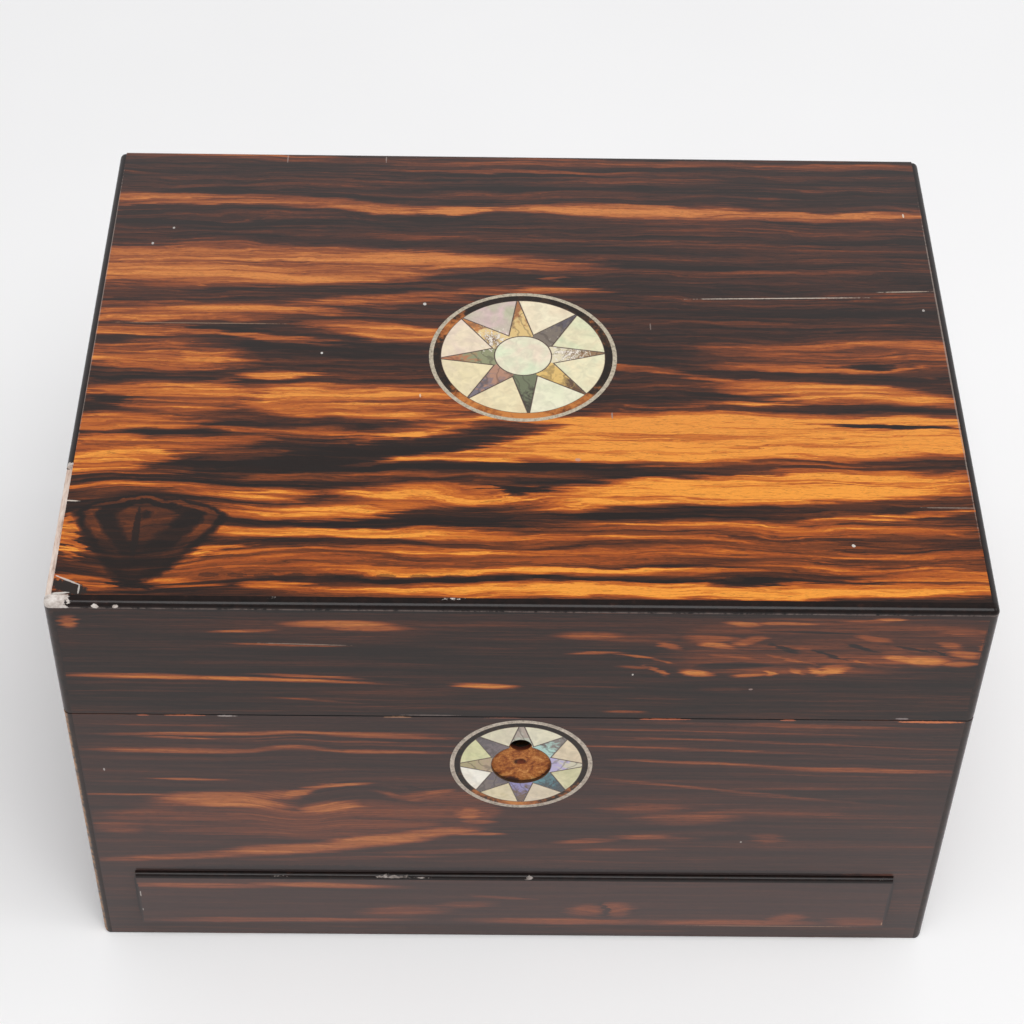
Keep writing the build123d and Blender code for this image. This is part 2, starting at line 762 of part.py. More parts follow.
def build_drawer():
    front_half = opening_x - drawer_clearance
    board_y = drawer_front_y + veneer
    inside_y = board_y + drawer_front_board
    low = rail_height + drawer_clearance
    high = bay_top - drawer_clearance
    strip_bottom = high - top_strip_thick
    back_y = inner_y - spring_room
    side_top = high - drawer_side_drop
    side_x = front_half - drawer_side
    groove_x = side_x + drawer_groove
    groove_y = inside_y - drawer_groove
    floor_low = low + drawer_bottom_rise
    floor_high = floor_low + drawer_bottom_thick
    floor = block((-groove_x, groove_x), (groove_y, back_y), (floor_low, floor_high))
    write_node("drawer_bottom", floor)

    pin_socket = rod((pin_x, pin_y), pin_radius + pin_clearance, (high - pin_hole_depth, high), "z")
    front = block((-front_half, front_half), (board_y, inside_y), (low, strip_bottom))
    write_node("drawer_front", cut(front, floor, pin_socket))
    face = block((-front_half, front_half), (drawer_front_y, board_y), (low, strip_bottom))
    write_node("drawer_front_veneer", face)
    strip = block((-front_half, front_half), (drawer_front_y, inside_y), (strip_bottom, high))
    arris = strip.edges().filter_by(Axis.X).sort_by(Axis.Z)[-2:].sort_by(Axis.Y)[0]
    write_node("drawer_top_strip", fillet(arris, top_strip_rounding) - pin_socket)

    side = block((side_x, front_half), (inside_y, back_y), (low, side_top))
    write_node("drawer_sides", *[piece - floor for piece in both_sides(side)])
    back_front_y = back_y - drawer_back_thick
    back_z = (floor_high, side_top)
    write_node("drawer_back", block((-side_x, side_x), (back_front_y, back_y), back_z))

    half_bay = drawer_ring_bay / 2
    partition_z = (floor_high, side_top - drawer_partition_drop)
    partition = block((half_bay, half_bay + drawer_partition), (inside_y, back_front_y), partition_z)
    write_node("drawer_partitions", *both_sides(partition))

    pad_z = (floor_high, floor_high + velvet_thick)
    pad_y = (inside_y + velvet_gap, back_front_y - velvet_gap)
    side_pad = block((half_bay + drawer_partition + velvet_gap, side_x - velvet_gap), pad_y, pad_z)
    middle_x = (-half_bay + velvet_gap, half_bay - velvet_gap)
    middle_pad = block(middle_x, pad_y, pad_z)
    rolls = ring_rolls(drawer_roll_count, middle_x, pad_y, pad_z[1])
    write_node("drawer_lining", *both_sides(side_pad), middle_pad, *rolls)

    # The leaf spring is drawn pressed flat: its crown bears on the drawer's back.
    half = spring_length / 2
    crown_y = back_y + drawer_clearance
    curve_outer = ThreePointArc((-half, inner_y - spring_thick), (0, crown_y), (half, inner_y - spring_thick))
    curve_inner = ThreePointArc((half, inner_y), (0, crown_y + spring_thick), (-half, inner_y))
    ends = [
        Line((half, inner_y - spring_thick), (half, inner_y)),
        Line((-half, inner_y), (-half, inner_y - spring_thick)),
    ]
    bow = make_face([curve_outer, ends[0], curve_inner, ends[1]])
    spring_z = (low + side_top - spring_width) / 2
    spring = Pos(0, 0, spring_z) * extrude(bow, spring_width)
    for sign in (-1, 1):
        x_span = sorted((sign * half, sign * (half + spring_foot)))
        foot = block(x_span, (inner_y - spring_thick, inner_y), (spring_z, spring_z + spring_width))
        spring = spring + foot
    write_node("drawer_spring", spring)

    head_low = rim + pin_travel + drawer_clearance
    head = rod((pin_x, pin_y), pin_head_radius, (head_low, head_low + pin_head_height), "z")
    shaft = rod((pin_x, pin_y), pin_radius, (bay_top - drawer_clearance + pin_lift, head_low), "z")
    crown_edges = head.edges().sort_by(Axis.Z)[-1:]
    write_node("drawer_pin", shaft + fillet(crown_edges, pin_head_rounding))


# Tray


def build_tray():
    outer_x = inner_x - tray_clearance
    outer_y = inner_y - tray_clearance
    room_x = outer_x - tray_wall
    room_y = outer_y - tray_wall
    floor_top = tray_bottom + tray_floor_thick
    wall_z = (tray_bottom, tray_top)
    front = block((-outer_x, outer_x), (-outer_y, -room_y), wall_z)
    back = block((-outer_x, outer_x), (room_y, outer_y), wall_z)
    side = block((room_x, outer_x), (-room_y, room_y), wall_z)
    write_node("tray_walls", front, back, *both_sides(side))
    write_node("tray_floor", block((-room_x, room_x), (-room_y, room_y), (tray_bottom, floor_top)))

    partition_z = (floor_top, tray_top - partition_drop)
    handle_y = (handle_partition_y, handle_partition_y + handle_partition)
    handle = block((-room_x, room_x), handle_y, (floor_top, tray_top))
    back_x = (back_partition_x, back_partition_x + tray_partition)
    front_x = (front_partition_x, front_partition_x + tray_partition)
    back_cross = block(back_x, (handle_y[1], room_y), partition_z)
    front_cross = block(front_x, (-room_y, handle_y[0]), partition_z)
    write_node("tray_partitions", handle, *both_sides(back_cross), *both_sides(front_cross))

    pad_z = (floor_top, floor_top + velvet_thick)
    back_y = (handle_y[1] + velvet_gap, room_y - velvet_gap)
    front_y = (-room_y + velvet_gap, handle_y[0] - velvet_gap)
    back_side = block((back_x[1] + velvet_gap, room_x - velvet_gap), back_y, pad_z)
    front_side = block((front_x[1] + velvet_gap, room_x - velvet_gap), front_y, pad_z)
    back_middle = block((-back_x[0] + velvet_gap, back_x[0] - velvet_gap), back_y, pad_z)
    roll_x = (-front_x[0] + velvet_gap, front_x[0] - velvet_gap)
    front_middle = block(roll_x, front_y, pad_z)
    rolls = ring_rolls(tray_roll_count, roll_x, front_y, pad_z[1])
    pads = both_sides(back_side) + both_sides(front_side) + [back_middle, front_middle]
    write_node("tray_lining", *pads, *rolls)

    knob_y = handle_y[0] + handle_partition / 2
    stem = rod((knob_x, knob_y), knob_stem_radius, (tray_top, tray_top + knob_stem_height), "z")
    ball_z = tray_top + knob_stem_height + knob_radius - knob_stem_radius / 2
    ball = Pos(knob_x, knob_y, ball_z) * Sphere(knob_radius)
    write_node("tray_knobs", *both_sides(stem + ball))


def build_screws():
    write_node("base_screws", *[place * screw(length) for place, length in base_screw_places])
    write_node("lid_screws", *[place * screw(length) for place, length in lid_screw_places])


os.makedirs("parts", exist_ok=True)
build_case()
build_case_skin()
build_lid()
build_lid_skin()
build_stars()
build_lock()
build_hinges()
build_screws()
build_mirror()
build_drawer()
build_tray()
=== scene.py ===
import math

import bmesh
import bpy
from mathutils import Matrix, Vector, noise


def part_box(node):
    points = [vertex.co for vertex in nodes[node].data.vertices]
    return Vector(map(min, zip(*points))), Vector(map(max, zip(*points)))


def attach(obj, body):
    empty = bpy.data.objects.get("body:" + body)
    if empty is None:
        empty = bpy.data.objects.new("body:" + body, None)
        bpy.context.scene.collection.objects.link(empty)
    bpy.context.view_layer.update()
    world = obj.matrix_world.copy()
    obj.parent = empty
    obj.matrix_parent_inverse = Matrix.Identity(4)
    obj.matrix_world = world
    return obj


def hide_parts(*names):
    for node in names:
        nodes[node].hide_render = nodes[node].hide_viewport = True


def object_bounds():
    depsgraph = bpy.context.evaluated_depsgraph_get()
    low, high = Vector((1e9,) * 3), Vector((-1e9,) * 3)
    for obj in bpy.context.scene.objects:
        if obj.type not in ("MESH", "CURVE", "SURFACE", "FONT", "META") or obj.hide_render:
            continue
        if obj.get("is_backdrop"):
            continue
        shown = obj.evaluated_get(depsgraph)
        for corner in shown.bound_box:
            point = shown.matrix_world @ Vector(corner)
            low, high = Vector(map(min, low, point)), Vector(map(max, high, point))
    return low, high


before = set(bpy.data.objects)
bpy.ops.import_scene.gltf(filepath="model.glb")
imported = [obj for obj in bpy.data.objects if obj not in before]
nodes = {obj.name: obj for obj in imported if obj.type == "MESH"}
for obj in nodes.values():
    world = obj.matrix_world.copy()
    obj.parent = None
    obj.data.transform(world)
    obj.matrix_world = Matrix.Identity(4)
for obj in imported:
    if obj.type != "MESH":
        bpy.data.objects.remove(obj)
scene = bpy.context.scene
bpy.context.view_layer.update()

# Camera
# A short telephoto lens looks down on the lid from in front, with the box square to the picture.
camera_data = bpy.data.cameras.new("camera")
camera_data.sensor_width = 36
camera_data.lens = 84.82
camera = bpy.data.objects.new("camera", camera_data)
camera.location = (-0.01396, -0.61876, 0.76422)
camera.rotation_euler = (math.radians(43.369), math.radians(-0.931), math.radians(-0.120))
scene.collection.objects.link(camera)
scene.camera = camera
scene.view_settings.view_transform = "Standard"

# Table and studio light
# A matt white painted table in a pale room, with a large soft light above the front and a small one to the
# right. The room is pale low down behind the box, and dim overhead and behind the photographer. The table
# fills low views too, and lies a hair below the baize, so that the two never share a plane.


def linear(code, alpha=1):
    """The linear colour of an sRGB hex value."""
    parts = [int(code[i:i + 2], 16) / 255 for i in (0, 2, 4)]
    return (*[c / 12.92 if c <= 0.04045 else ((c + 0.055) / 1.055) ** 2.4 for c in parts], alpha)


def plug(tree, node, sockets):
    """Fills sockets with plain values, sRGB hex colours, nodes' first live outputs, or given outputs."""
    for key, value in sockets.items():
        if isinstance(value, bpy.types.Node):
            value = next(output for output in value.outputs if output.enabled)
        if isinstance(value, bpy.types.NodeSocket):
            tree.links.new(value, node.inputs[key])
        else:
            node.inputs[key].default_value = linear(value) if isinstance(value, str) else value


def add(tree, kind, sockets=None, stops=(), **settings):
    """Adds a node with its settings, the stops of its colour ramp and its sockets."""
    node = tree.nodes.new("ShaderNode" + kind)
    for name, value in settings.items():
        setattr(node, name, value)
    for place, (position, code) in enumerate(stops):
        elements = node.color_ramp.elements
        element = elements[place] if place < 2 else elements.new(position)
        element.position = position
        element.color = linear(code)
    plug(tree, node, sockets or {})
    return node


def drawn_out(tree, place, scale, detail, **more):
    """Noise with a scale of its own along each axis."""
    stretched = add(tree, "Mapping", {"Vector": place, "Scale": scale})
    return add(tree, "TexNoise", {"Vector": stretched, "Scale": 1, "Detail": detail, **more})


def ball(tree, place, middle, reach):
    """1 in the middle of a soft ball, 0 from its reach on."""
    near = add(tree, "Mapping", {"Vector": place, "Location": middle, "Scale": reach}, vector_type="TEXTURE")
    return add(tree, "TexGradient", {"Vector": near}, gradient_type="SPHERICAL")


def finish(name, values):
    """A new material with constant values on the surface's own sockets, its node tree and its surface."""
    material = bpy.data.materials.new(name)
    material.use_nodes = True
    surface = material.node_tree.nodes["Principled BSDF"]
    plug(material.node_tree, surface, values)
    return material, material.node_tree, surface


def millimetres(tree):
    """The point on the box in millimetres."""
    where = add(tree, "TexCoord")
    return add(tree, "VectorMath", {0: where.outputs["Object"], "Scale": 1000}, operation="SCALE")


painted_table, tree, surface = finish("matt white paint", {"Roughness": 0.75, "Specular IOR Level": 0.2})
cloudy = add(tree, "TexNoise", {"Vector": millimetres(tree), "Scale": 0.004, "Detail": 3})
paint = add(tree, "ValToRGB", {0: cloudy}, [(0.3, "F5F5F5"), (0.7, "F8F8F8")])
plug(tree, surface, {"Base Color": paint})

TABLE_REACH = 30
TABLE_GAP = 0.0001
shape = bmesh.new()
bmesh.ops.create_grid(shape, x_segments=8, y_segments=8, size=TABLE_REACH)
bmesh.ops.translate(shape, vec=(0, 0, -TABLE_GAP), verts=shape.verts)
table_mesh = bpy.data.meshes.new("table")
shape.to_mesh(table_mesh)
shape.free()
table = bpy.data.objects.new("table", table_mesh)
table.data.materials.append(painted_table)
scene.collection.objects.link(table)
table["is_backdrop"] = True

room = bpy.data.worlds.new("room")
scene.world = room
room.use_nodes = True
tree = room.node_tree
sky = add(tree, "SeparateXYZ", {0: add(tree, "TexCoord").outputs["Generated"]}).outputs
height = add(tree, "MapRange", {
    "Value": sky["Z"], "From Min": 0.58, "From Max": 0.76,
}, interpolation_type="SMOOTHSTEP")
walls = add(tree, "Mix", {"Factor": height, 6: "F6F6F8", 7: "ABAAAA"}, data_type="RGBA")
behind = add(tree, "MapRange", {"Value": sky["Y"], "From Min": -0.05, "From Max": -0.5})
all_round = add(tree, "Mix", {
    "Factor": behind, 6: walls, 7: "B4B4B6",
}, data_type="RGBA")
plug(tree, tree.nodes["Background"], {"Color": all_round, "Strength": 0.9})


def soft_light(name, place, width, power):
    """A square soft light that faces the middle of the box."""
    lamp = bpy.data.lights.new(name, "AREA")
    lamp.shape = "SQUARE"
    lamp.size = width
    lamp.energy = power
    light = bpy.data.objects.new(name, lamp)
    light.location = place
    light.rotation_euler = Vector(place).to_track_quat("Z", "Y").to_euler()
    scene.collection.objects.link(light)


soft_light("side_soft_light", (1.7, -0.2, 1.5), 1, 6.5)
soft_light("overhead_soft_light", (0.2, -0.95, 2.4), 1.6, 39)

# Baize under the box
# A sheet of green wool baize, felted and close, cut a little smaller than the bottom board and glued under
# it, so that the box doesn't scratch a table.


def dress(material, *names):
    """Gives CAD nodes a finish."""
    for name in names:
        nodes[name].data.materials.clear()
        nodes[name].data.materials.append(material)


def new_piece(name, shape, material, body, stands_for=()):
    """A piece from a bmesh drawn in millimetres. It rides on a body of the frame."""
    bmesh.ops.scale(shape, vec=(0.001, 0.001, 0.001), verts=shape.verts)
    mesh = bpy.data.meshes.new(name)
    shape.to_mesh(mesh)
    shape.free()
    mesh.materials.append(material)
    mesh.shade_smooth()
    piece = bpy.data.objects.new(name, mesh)
    scene.collection.objects.link(piece)
    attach(piece, body)
    if stands_for:
        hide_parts(*stands_for)
    return piece


baize_finish, tree, surface = finish("wool baize", {
    "Roughness": 0.95, "Specular IOR Level": 0.15, "Sheen Weight": 0.5, "Sheen Roughness": 0.6,
})
place = millimetres(tree)
felted = add(tree, "TexNoise", {"Vector": place, "Scale": 1.6, "Detail": 5, "Roughness": 0.7})
green = add(tree, "ValToRGB", {0: felted}, [(0.3, "123A22"), (0.7, "2B5E3A")])
nap = add(tree, "Bump", {"Height": felted, "Strength": 0.5, "Distance": 0.0004})
plug(tree, surface, {"Base Color": green, "Normal": nap})

BAIZE_THICK = 0.8
baize_low, baize_high = [corner * 1000 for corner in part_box("baize_sheet")]
baize_size = baize_high - baize_low
shape = bmesh.new()
bmesh.ops.create_grid(shape, x_segments=60, y_segments=45, size=0.5)
bmesh.ops.scale(shape, vec=(baize_size.x, baize_size.y, 1), verts=shape.verts)
bmesh.ops.translate(shape, vec=(0, 0, BAIZE_THICK), verts=shape.verts)
bmesh.ops.recalc_face_normals(shape, faces=shape.faces)
bmesh.ops.solidify(shape, geom=shape.faces, thickness=BAIZE_THICK)
baize = new_piece("baize", shape, baize_finish, "case", ["baize_sheet"])

# Carcase boards
# The case, the lid and the drawer are boards of Honduras mahogany, planed, glued and screwed. It shows only
# inside, and in the lid's broken groove at the left, where old glue and a pale ground are left on it.


def mahogany(name, along, ground, polish):
    """Planed mahogany with its grain along the axes named: broad faint stripes, and short dark pores that are
    drawn about twice as wide as real ones, so that they show.
    """
    material, tree, surface = finish(name, {
        "Roughness": 0.42, "Specular IOR Level": 0.35, "Coat Weight": polish, "Coat Roughness": 0.18,
    })
    place = millimetres(tree)
    stretch = [1 / 60 if axis in along else 1 / 2.6 for axis in "XYZ"]
    pores = [1 / 5 if axis in along else 1 / 0.35 for axis in "XYZ"]
    stripes = drawn_out(tree, place, stretch, 4, Roughness=0.55, Distortion=0.4)
    pore = drawn_out(tree, place, pores, 2)
    dots = add(tree, "MapRange", {"Value": pore, "From Min": 0.55, "From Max": 0.68})
    colour = add(tree, "ValToRGB", {0: stripes}, zip((0.28, 0.52, 0.75), ground))
    dark = add(tree, "Mix", {"Factor": dots, 6: colour, 7: ground[0]}, data_type="RGBA")
    relief = add(tree, "Bump", {"Height": dots, "Strength": 0.25, "Distance": 0.0001}, invert=True)
    plug(tree, surface, {"Base Color": dark, "Normal": relief})
    return material, tree, surface, dark


MAHOGANY_COLOURS = ("3A170C", "6B2F18", "8B4526")
mahogany_x = mahogany("polished mahogany along the box", "X", MAHOGANY_COLOURS, 0.3)[0]
mahogany_y = mahogany("polished mahogany across the box", "Y", MAHOGANY_COLOURS, 0.3)[0]
mahogany_round = mahogany("polished mahogany round the tray", "XY", MAHOGANY_COLOURS, 0.3)[0]
mahogany_raw = mahogany("planed mahogany", "X", ("4A2112", "7A3D22", "9A5634"), 0)[0]
dress(mahogany_x, "base_back_board", "dust_board", "drawer_front", "drawer_back", "drawer_bottom")
dress(mahogany_x, "lid_front_rail", "lid_back_rail", "tray_floor")
dress(mahogany_y, "base_side_boards", "drawer_guides", "tray_supports", "lid_side_rails")
dress(mahogany_y, "drawer_sides", "drawer_partitions")
dress(mahogany_round, "tray_walls", "tray_partitions")
dress(mahogany_raw, "bottom_board")

# Lid board, with the groove that lost its bead
# The left bead is broken away in front. Its groove shows bare mahogany under a pale skin of old glue.


def old_glue(tree, place):
    """A pale, patchy skin of old glue."""
    skin = drawn_out(tree, place, (0.9, 0.16, 0.9), 5, Roughness=0.65)
    return add(tree, "ValToRGB", {0: skin}, [(0.3, "A88A78"), (0.43, "D2BDAF"), (0.65, "EADDD2")])


glued, tree, surface, wood = mahogany("mahogany with old glue", "X", MAHOGANY_COLOURS, 0)
place = millimetres(tree)
height = add(tree, "SeparateXYZ", {0: place}).outputs["Z"]
high = add(tree, "MapRange", {"Value": height, "From Min": 182, "From Max": 183.5})
covered = add(tree, "Mix", {"Factor": high, 6: wood, 7: old_glue(tree, place)}, data_type="RGBA")
plug(tree, surface, {"Base Color": covered})
surface.inputs["Roughness"].default_value = 0.7
dress(glued, "lid_top_board")

# Front board behind the small star
# The star's round middle is lost, and the front board shows there: rough bare wood, orange-brown,
# with a dimple whose shade is painted dark brown, and a rim of dark old glue below.
STAR_X = 0.95
STAR_Z = 104.4
RECESS_RADIUS = 10.2
BOARD_FACE = -113.3
bare, tree, surface, wood = mahogany("bare mahogany", "X", MAHOGANY_COLOURS, 0)
surface.inputs["Roughness"].default_value = 0.75
place = millimetres(tree)
rough = add(tree, "TexNoise", {"Vector": place, "Scale": 0.9, "Detail": 6, "Roughness": 0.75})
patches = add(tree, "TexNoise", {"Vector": place, "Scale": 0.22, "Detail": 3, "Distortion": 1.2})
tone = add(tree, "Math", {0: rough, 1: patches}, operation="ADD")
tone = add(tree, "Math", {0: tone, 1: 0.5}, operation="MULTIPLY")
colour = add(tree, "ValToRGB", {0: tone}, [
    (0.36, "643014"), (0.455, "985224"), (0.535, "BE7638"), (0.63, "DEA664"),
])
low_rim = ball(tree, place, (STAR_X, BOARD_FACE, STAR_Z + 3.5), (14.5, 30, 14.5))
residue = add(tree, "Math", {0: low_rim, 1: patches}, operation="ADD")
residue = add(tree, "MapRange", {"Value": residue, "From Min": 0.62, "From Max": 0.5})
glue = add(tree, "Mix", {"Factor": residue, 6: colour, 7: "4A2A22"}, data_type="RGBA")
# Painted shade: a small dark brown oval in the dimple
dimple = ball(tree, place, (0.4, BOARD_FACE, 104.7), (2.6, 30, 1.9))
hole_shade = add(tree, "MapRange", {"Value": dimple, "From Min": 0, "From Max": 0.45})
dimple_shaded = add(tree, "Mix", {"Factor": hole_shade, 6: glue, 7: "3B1A0C"}, data_type="RGBA")
depth = add(tree, "SeparateXYZ", {0: place}).outputs["Y"]
behind = add(tree, "MapRange", {"Value": depth, "From Min": BOARD_FACE + 0.2, "From Max": BOARD_FACE + 0.4})
torn_face = add(tree, "Mix", {"Factor": behind, 2: rough, 3: 0.5})
torn = add(tree, "Bump", {"Height": torn_face, "Strength": 0.9, "Distance": 0.0005})
board = add(tree, "Mix", {"Factor": behind, 6: dimple_shaded, 7: wood}, data_type="RGBA")
plug(tree, surface, {"Base Color": board, "Normal": torn})
dress(bare, "base_front_board")

# Coromandel veneers
# Thick saw-cut leaves of coromandel, a streaked ebony: near-black brown with amber flames along the grain,
# bent round knots. French polish gives a deep, slightly wavy gloss with fine scratches and specks of dust.
# On the fronts, sides and back a pale veil, stronger lower down, is painted reflection of the table, and some
# marks are painted shade above and beside the drawer and along the seam between lid and case.
FEATHER_LENGTH = 1.1
FEATHER_WIDTH = 1.25
FLAME_EDGE = 2.6
SHADE_EDGE = 2.0


def spot(tree, leaf, x, y, half_length, half_width, rise=0):
    """The square of the distance from the middle of a long spot on a leaf: 0 there, 1 at the spot's edge."""
    turn = math.atan(rise)
    far = []
    for step_x, step_y in (
        (math.cos(turn) / half_length, math.sin(turn) / half_length),
        (-math.sin(turn) / half_width, math.cos(turn) / half_width),
    ):
        far.append(add(tree, "VectorMath", {
            0: leaf, 1: (step_x, step_y, -x * step_x - y * step_y),
        }, operation="DOT_PRODUCT"))
    sideways = add(tree, "Math", {0: far[1], 1: far[1]}, operation="MULTIPLY")
    return add(tree, "Math", {0: far[0], 1: far[0], 2: sideways}, operation="MULTIPLY_ADD")


def coromandel(name, along, across, flames, shades=(), knots=(), eye=None, marks_and_painted_shade=(), russet=(0, 1),
               ground=0.12, wander=(34, 9, 30, 3), streaks=(1.5, 1.1, 0.5), gloss=1, table_reflection=0):
    """A leaf of coromandel with its grain along one axis and its width across another. In mm on the leaf:

    a flame is along, across, half length, half width, tone, and a shade is the same without its tone
    a mark is along, across, half length, half width, colour, how much it covers; a mark is a speck,
    scratch, joint or rubbed edge, and some marks are painted shade
    all three may end with a rise along the grain
    a knot is along, across, reach along, reach across, share the grain is pushed aside, rings
    an eye is along, across, reach left, right, down, up, tone of its heart
    """
    material, tree, surface = finish(name, {
        "Roughness": 0.38, "Specular IOR Level": 0.1,
        "Coat Weight": gloss, "Coat Roughness": 0.06, "Coat IOR": 1.42,
    })
    parts = add(tree, "SeparateXYZ", {0: millimetres(tree)}).outputs
    depth = ({"X", "Y", "Z"} - {along, across}).pop()
    flat = add(tree, "CombineXYZ", {0: parts[along], 1: parts[across], 2: parts[depth]})
    leaf = flat
    turn = 0
    for x, y, reach_x, reach_y, push, rings in knots:
        away = add(tree, "VectorMath", {0: leaf, 1: (x, y, 0)}, operation="SUBTRACT")
        near = add(tree, "VectorMath", {0: away, 1: (1 / reach_x, 1 / reach_y, 0)}, operation="MULTIPLY")
        near = add(tree, "VectorMath", {0: near}, operation="LENGTH")
        heart = add(tree, "MapRange", {
            "Value": near, "From Min": 1, "From Max": 0,
        }, interpolation_type="SMOOTHSTEP")
        aside = add(tree, "VectorMath", {0: away, 1: (0, -push, 0)}, operation="MULTIPLY")
        moved = add(tree, "VectorMath", {0: aside, "Scale": heart}, operation="SCALE")
        leaf = add(tree, "VectorMath", {0: leaf, 1: moved}, operation="ADD")
        turn = add(tree, "Math", {0: heart, 1: rings, 2: turn}, operation="MULTIPLY_ADD")
    drift = drawn_out(tree, leaf, (1 / 48, 1 / 15, 1 / 30), 2)
    ragged = drawn_out(tree, leaf, (1 / 14, 1 / 1.1, 1 / 30), 3, Roughness=0.6)
    half = (0.5, 0.5, 0.5)
    for source, reach in ((drift, wander[:2]), (ragged, wander[2:])):
        swing = add(tree, "VectorMath", {0: source.outputs["Color"], 1: half}, operation="SUBTRACT")
        step = add(tree, "VectorMath", {0: swing, 1: (*reach, 0)}, operation="MULTIPLY")
        leaf = add(tree, "VectorMath", {0: leaf, 1: step}, operation="ADD")
    bent = add(tree, "SeparateXYZ", {0: leaf}).outputs
    bent = add(tree, "CombineXYZ", {0: bent["X"], 1: bent["Y"], 2: 1})
    figure = None
    for x, y, half_length, half_width, tone, *rise in flames:
        far = spot(tree, bent, x, y, half_length * FEATHER_LENGTH, half_width * FEATHER_WIDTH, *rise)
        lit = add(tree, "MapRange", {
            "Value": far, "From Min": 1, "From Max": (1 - min(0.55, FLAME_EDGE / half_width)) ** 2,
            "To Min": ground, "To Max": tone,
        })
        figure = add(tree, "Math", {0: figure, 1: lit}, operation="MAXIMUM") if figure else lit
    for x, y, half_length, half_width, *rise in shades:
        far = spot(tree, bent, x, y, half_length * FEATHER_LENGTH, half_width * FEATHER_WIDTH, *rise)
        unlit = add(tree, "MapRange", {
            "Value": far, "From Min": 1, "From Max": (1 - min(0.6, SHADE_EDGE / half_width)) ** 2,
            "To Min": 1, "To Max": 0.05,
        })
        figure = add(tree, "Math", {0: figure, 1: unlit}, operation="MINIMUM")
    if eye:
        x, y, left, right, down, up, heart = eye
        wobble = add(tree, "TexNoise", {"Vector": flat, "Scale": 0.1, "Detail": 4, "Roughness": 0.6})
        sway = add(tree, "VectorMath", {0: wobble.outputs["Color"], 1: half}, operation="SUBTRACT")
        sway = add(tree, "VectorMath", {0: sway, "Scale": 7}, operation="SCALE")
        steady = add(tree, "VectorMath", {0: flat, 1: sway}, operation="ADD")
        away = add(tree, "VectorMath", {0: steady, 1: (x, y, 0)}, operation="SUBTRACT")
        later = add(tree, "VectorMath", {0: away, 1: (1 / right, 1 / up, 0)}, operation="MULTIPLY")
        sooner = add(tree, "VectorMath", {0: away, 1: (-1 / left, -1 / down, 0)}, operation="MULTIPLY")
        both = add(tree, "VectorMath", {0: later, 1: sooner}, operation="MAXIMUM")
        kite = add(tree, "VectorMath", {0: both, 1: (0.5, 0.5, 0)}, operation="DOT_PRODUCT")
        oval = add(tree, "VectorMath", {0: both}, operation="LENGTH")
        near = add(tree, "Math", {0: oval, 1: 0.5, 2: kite}, operation="MULTIPLY_ADD")
        ring = add(tree, "ValToRGB", {0: near}, [
            (0.04, "202020"), (0.12, heart), (0.4, heart), (0.5, "1C1C1C"), (0.7, "181818"),
            (0.77, "ACACAC"), (0.88, "A4A4A4"), (0.94, "101010"),
        ])
        below = add(tree, "VectorMath", {0: away, 1: (0, -1 / down, 0)}, operation="DOT_PRODUCT")
        lit = add(tree, "MapRange", {
            "Value": below, "From Min": 0.2, "From Max": 0.6, "To Min": 1, "To Max": 0.15,
        })
        ring = add(tree, "Math", {0: ring, 1: lit}, operation="MULTIPLY")
        inside = add(tree, "MapRange", {"Value": near, "From Min": 1.08, "From Max": 0.98})
        figure = add(tree, "Mix", {"Factor": inside, 2: figure, 3: ring})
        calm = add(tree, "MapRange", {
            "Value": near, "From Min": 1.06, "From Max": 1, "To Min": 1, "To Max": 0.8,
        })
    along_grain = add(tree, "VectorMath", {0: leaf, 1: add(tree, "CombineXYZ", {1: turn})}, operation="ADD")
    for spread, width, strength, detail in zip((110, 75, 20), (4.6, 1.3, 0.5), streaks, (3, 4, 3)):
        streak = drawn_out(tree, along_grain, (1 / spread, 1 / width, 1 / 30), detail, Roughness=0.62)
        swing = add(tree, "Math", {0: streak, 1: 0.5}, operation="SUBTRACT")
        if eye:
            swing = add(tree, "Math", {0: swing, 1: calm}, operation="MULTIPLY")
        figure = add(tree, "Math", {0: swing, 1: strength, 2: figure}, operation="MULTIPLY_ADD")
    tones = (0, 0.18, 0.35, 0.5, 0.65, 0.82, 1)
    honey = add(tree, "ValToRGB", {0: figure}, zip(
        tones, ("180D09", "2E170D", "4C240F", "703613", "9A4816", "C2661D", "EA9636")))
    rust = add(tree, "ValToRGB", {0: figure}, zip(
        tones, ("1F120D", "331B13", "4A2516", "683218", "89451F", "AC602B", "C8793A")))
    split = add(tree, "SeparateXYZ", {0: flat}).outputs
    redder = add(tree, "MapRange", {"Value": split["Y"], "From Min": russet[0], "From Max": russet[1]})
    wood = add(tree, "Mix", {"Factor": redder, 6: honey, 7: rust}, data_type="RGBA")
    pore = drawn_out(tree, leaf, (1 / 3.2, 1 / 0.25, 1 / 30), 2)
    pores = add(tree, "MapRange", {
        "Value": pore, "From Min": 0.52, "From Max": 0.7, "To Min": 1, "To Max": 0.55,
    })
    seen = add(tree, "VectorMath", {0: wood, "Scale": pores}, operation="SCALE")
    grit = add(tree, "TexNoise", {"Vector": flat, "Scale": 0.8, "Detail": 3, "Roughness": 0.7})
    gritty = add(tree, "Math", {0: grit, 1: 1.4}, operation="MULTIPLY")
    level = add(tree, "CombineXYZ", {0: split["X"], 1: split["Y"], 2: 1})
    # Marks laid on in turn; some are painted shade, above and beside the drawer and along the seam
    for x, y, half_length, half_width, code, share, *rise in marks_and_painted_shade:
        far = spot(tree, level, x, y, half_length, half_width, *rise)
        rough = add(tree, "Math", {0: gritty, 1: far}, operation="SUBTRACT")
        cover = add(tree, "MapRange", {"Value": rough, "From Min": 0, "From Max": 0.25, "To Max": share})
        seen = add(tree, "Mix", {"Factor": cover, 6: seen, 7: code}, data_type="RGBA")
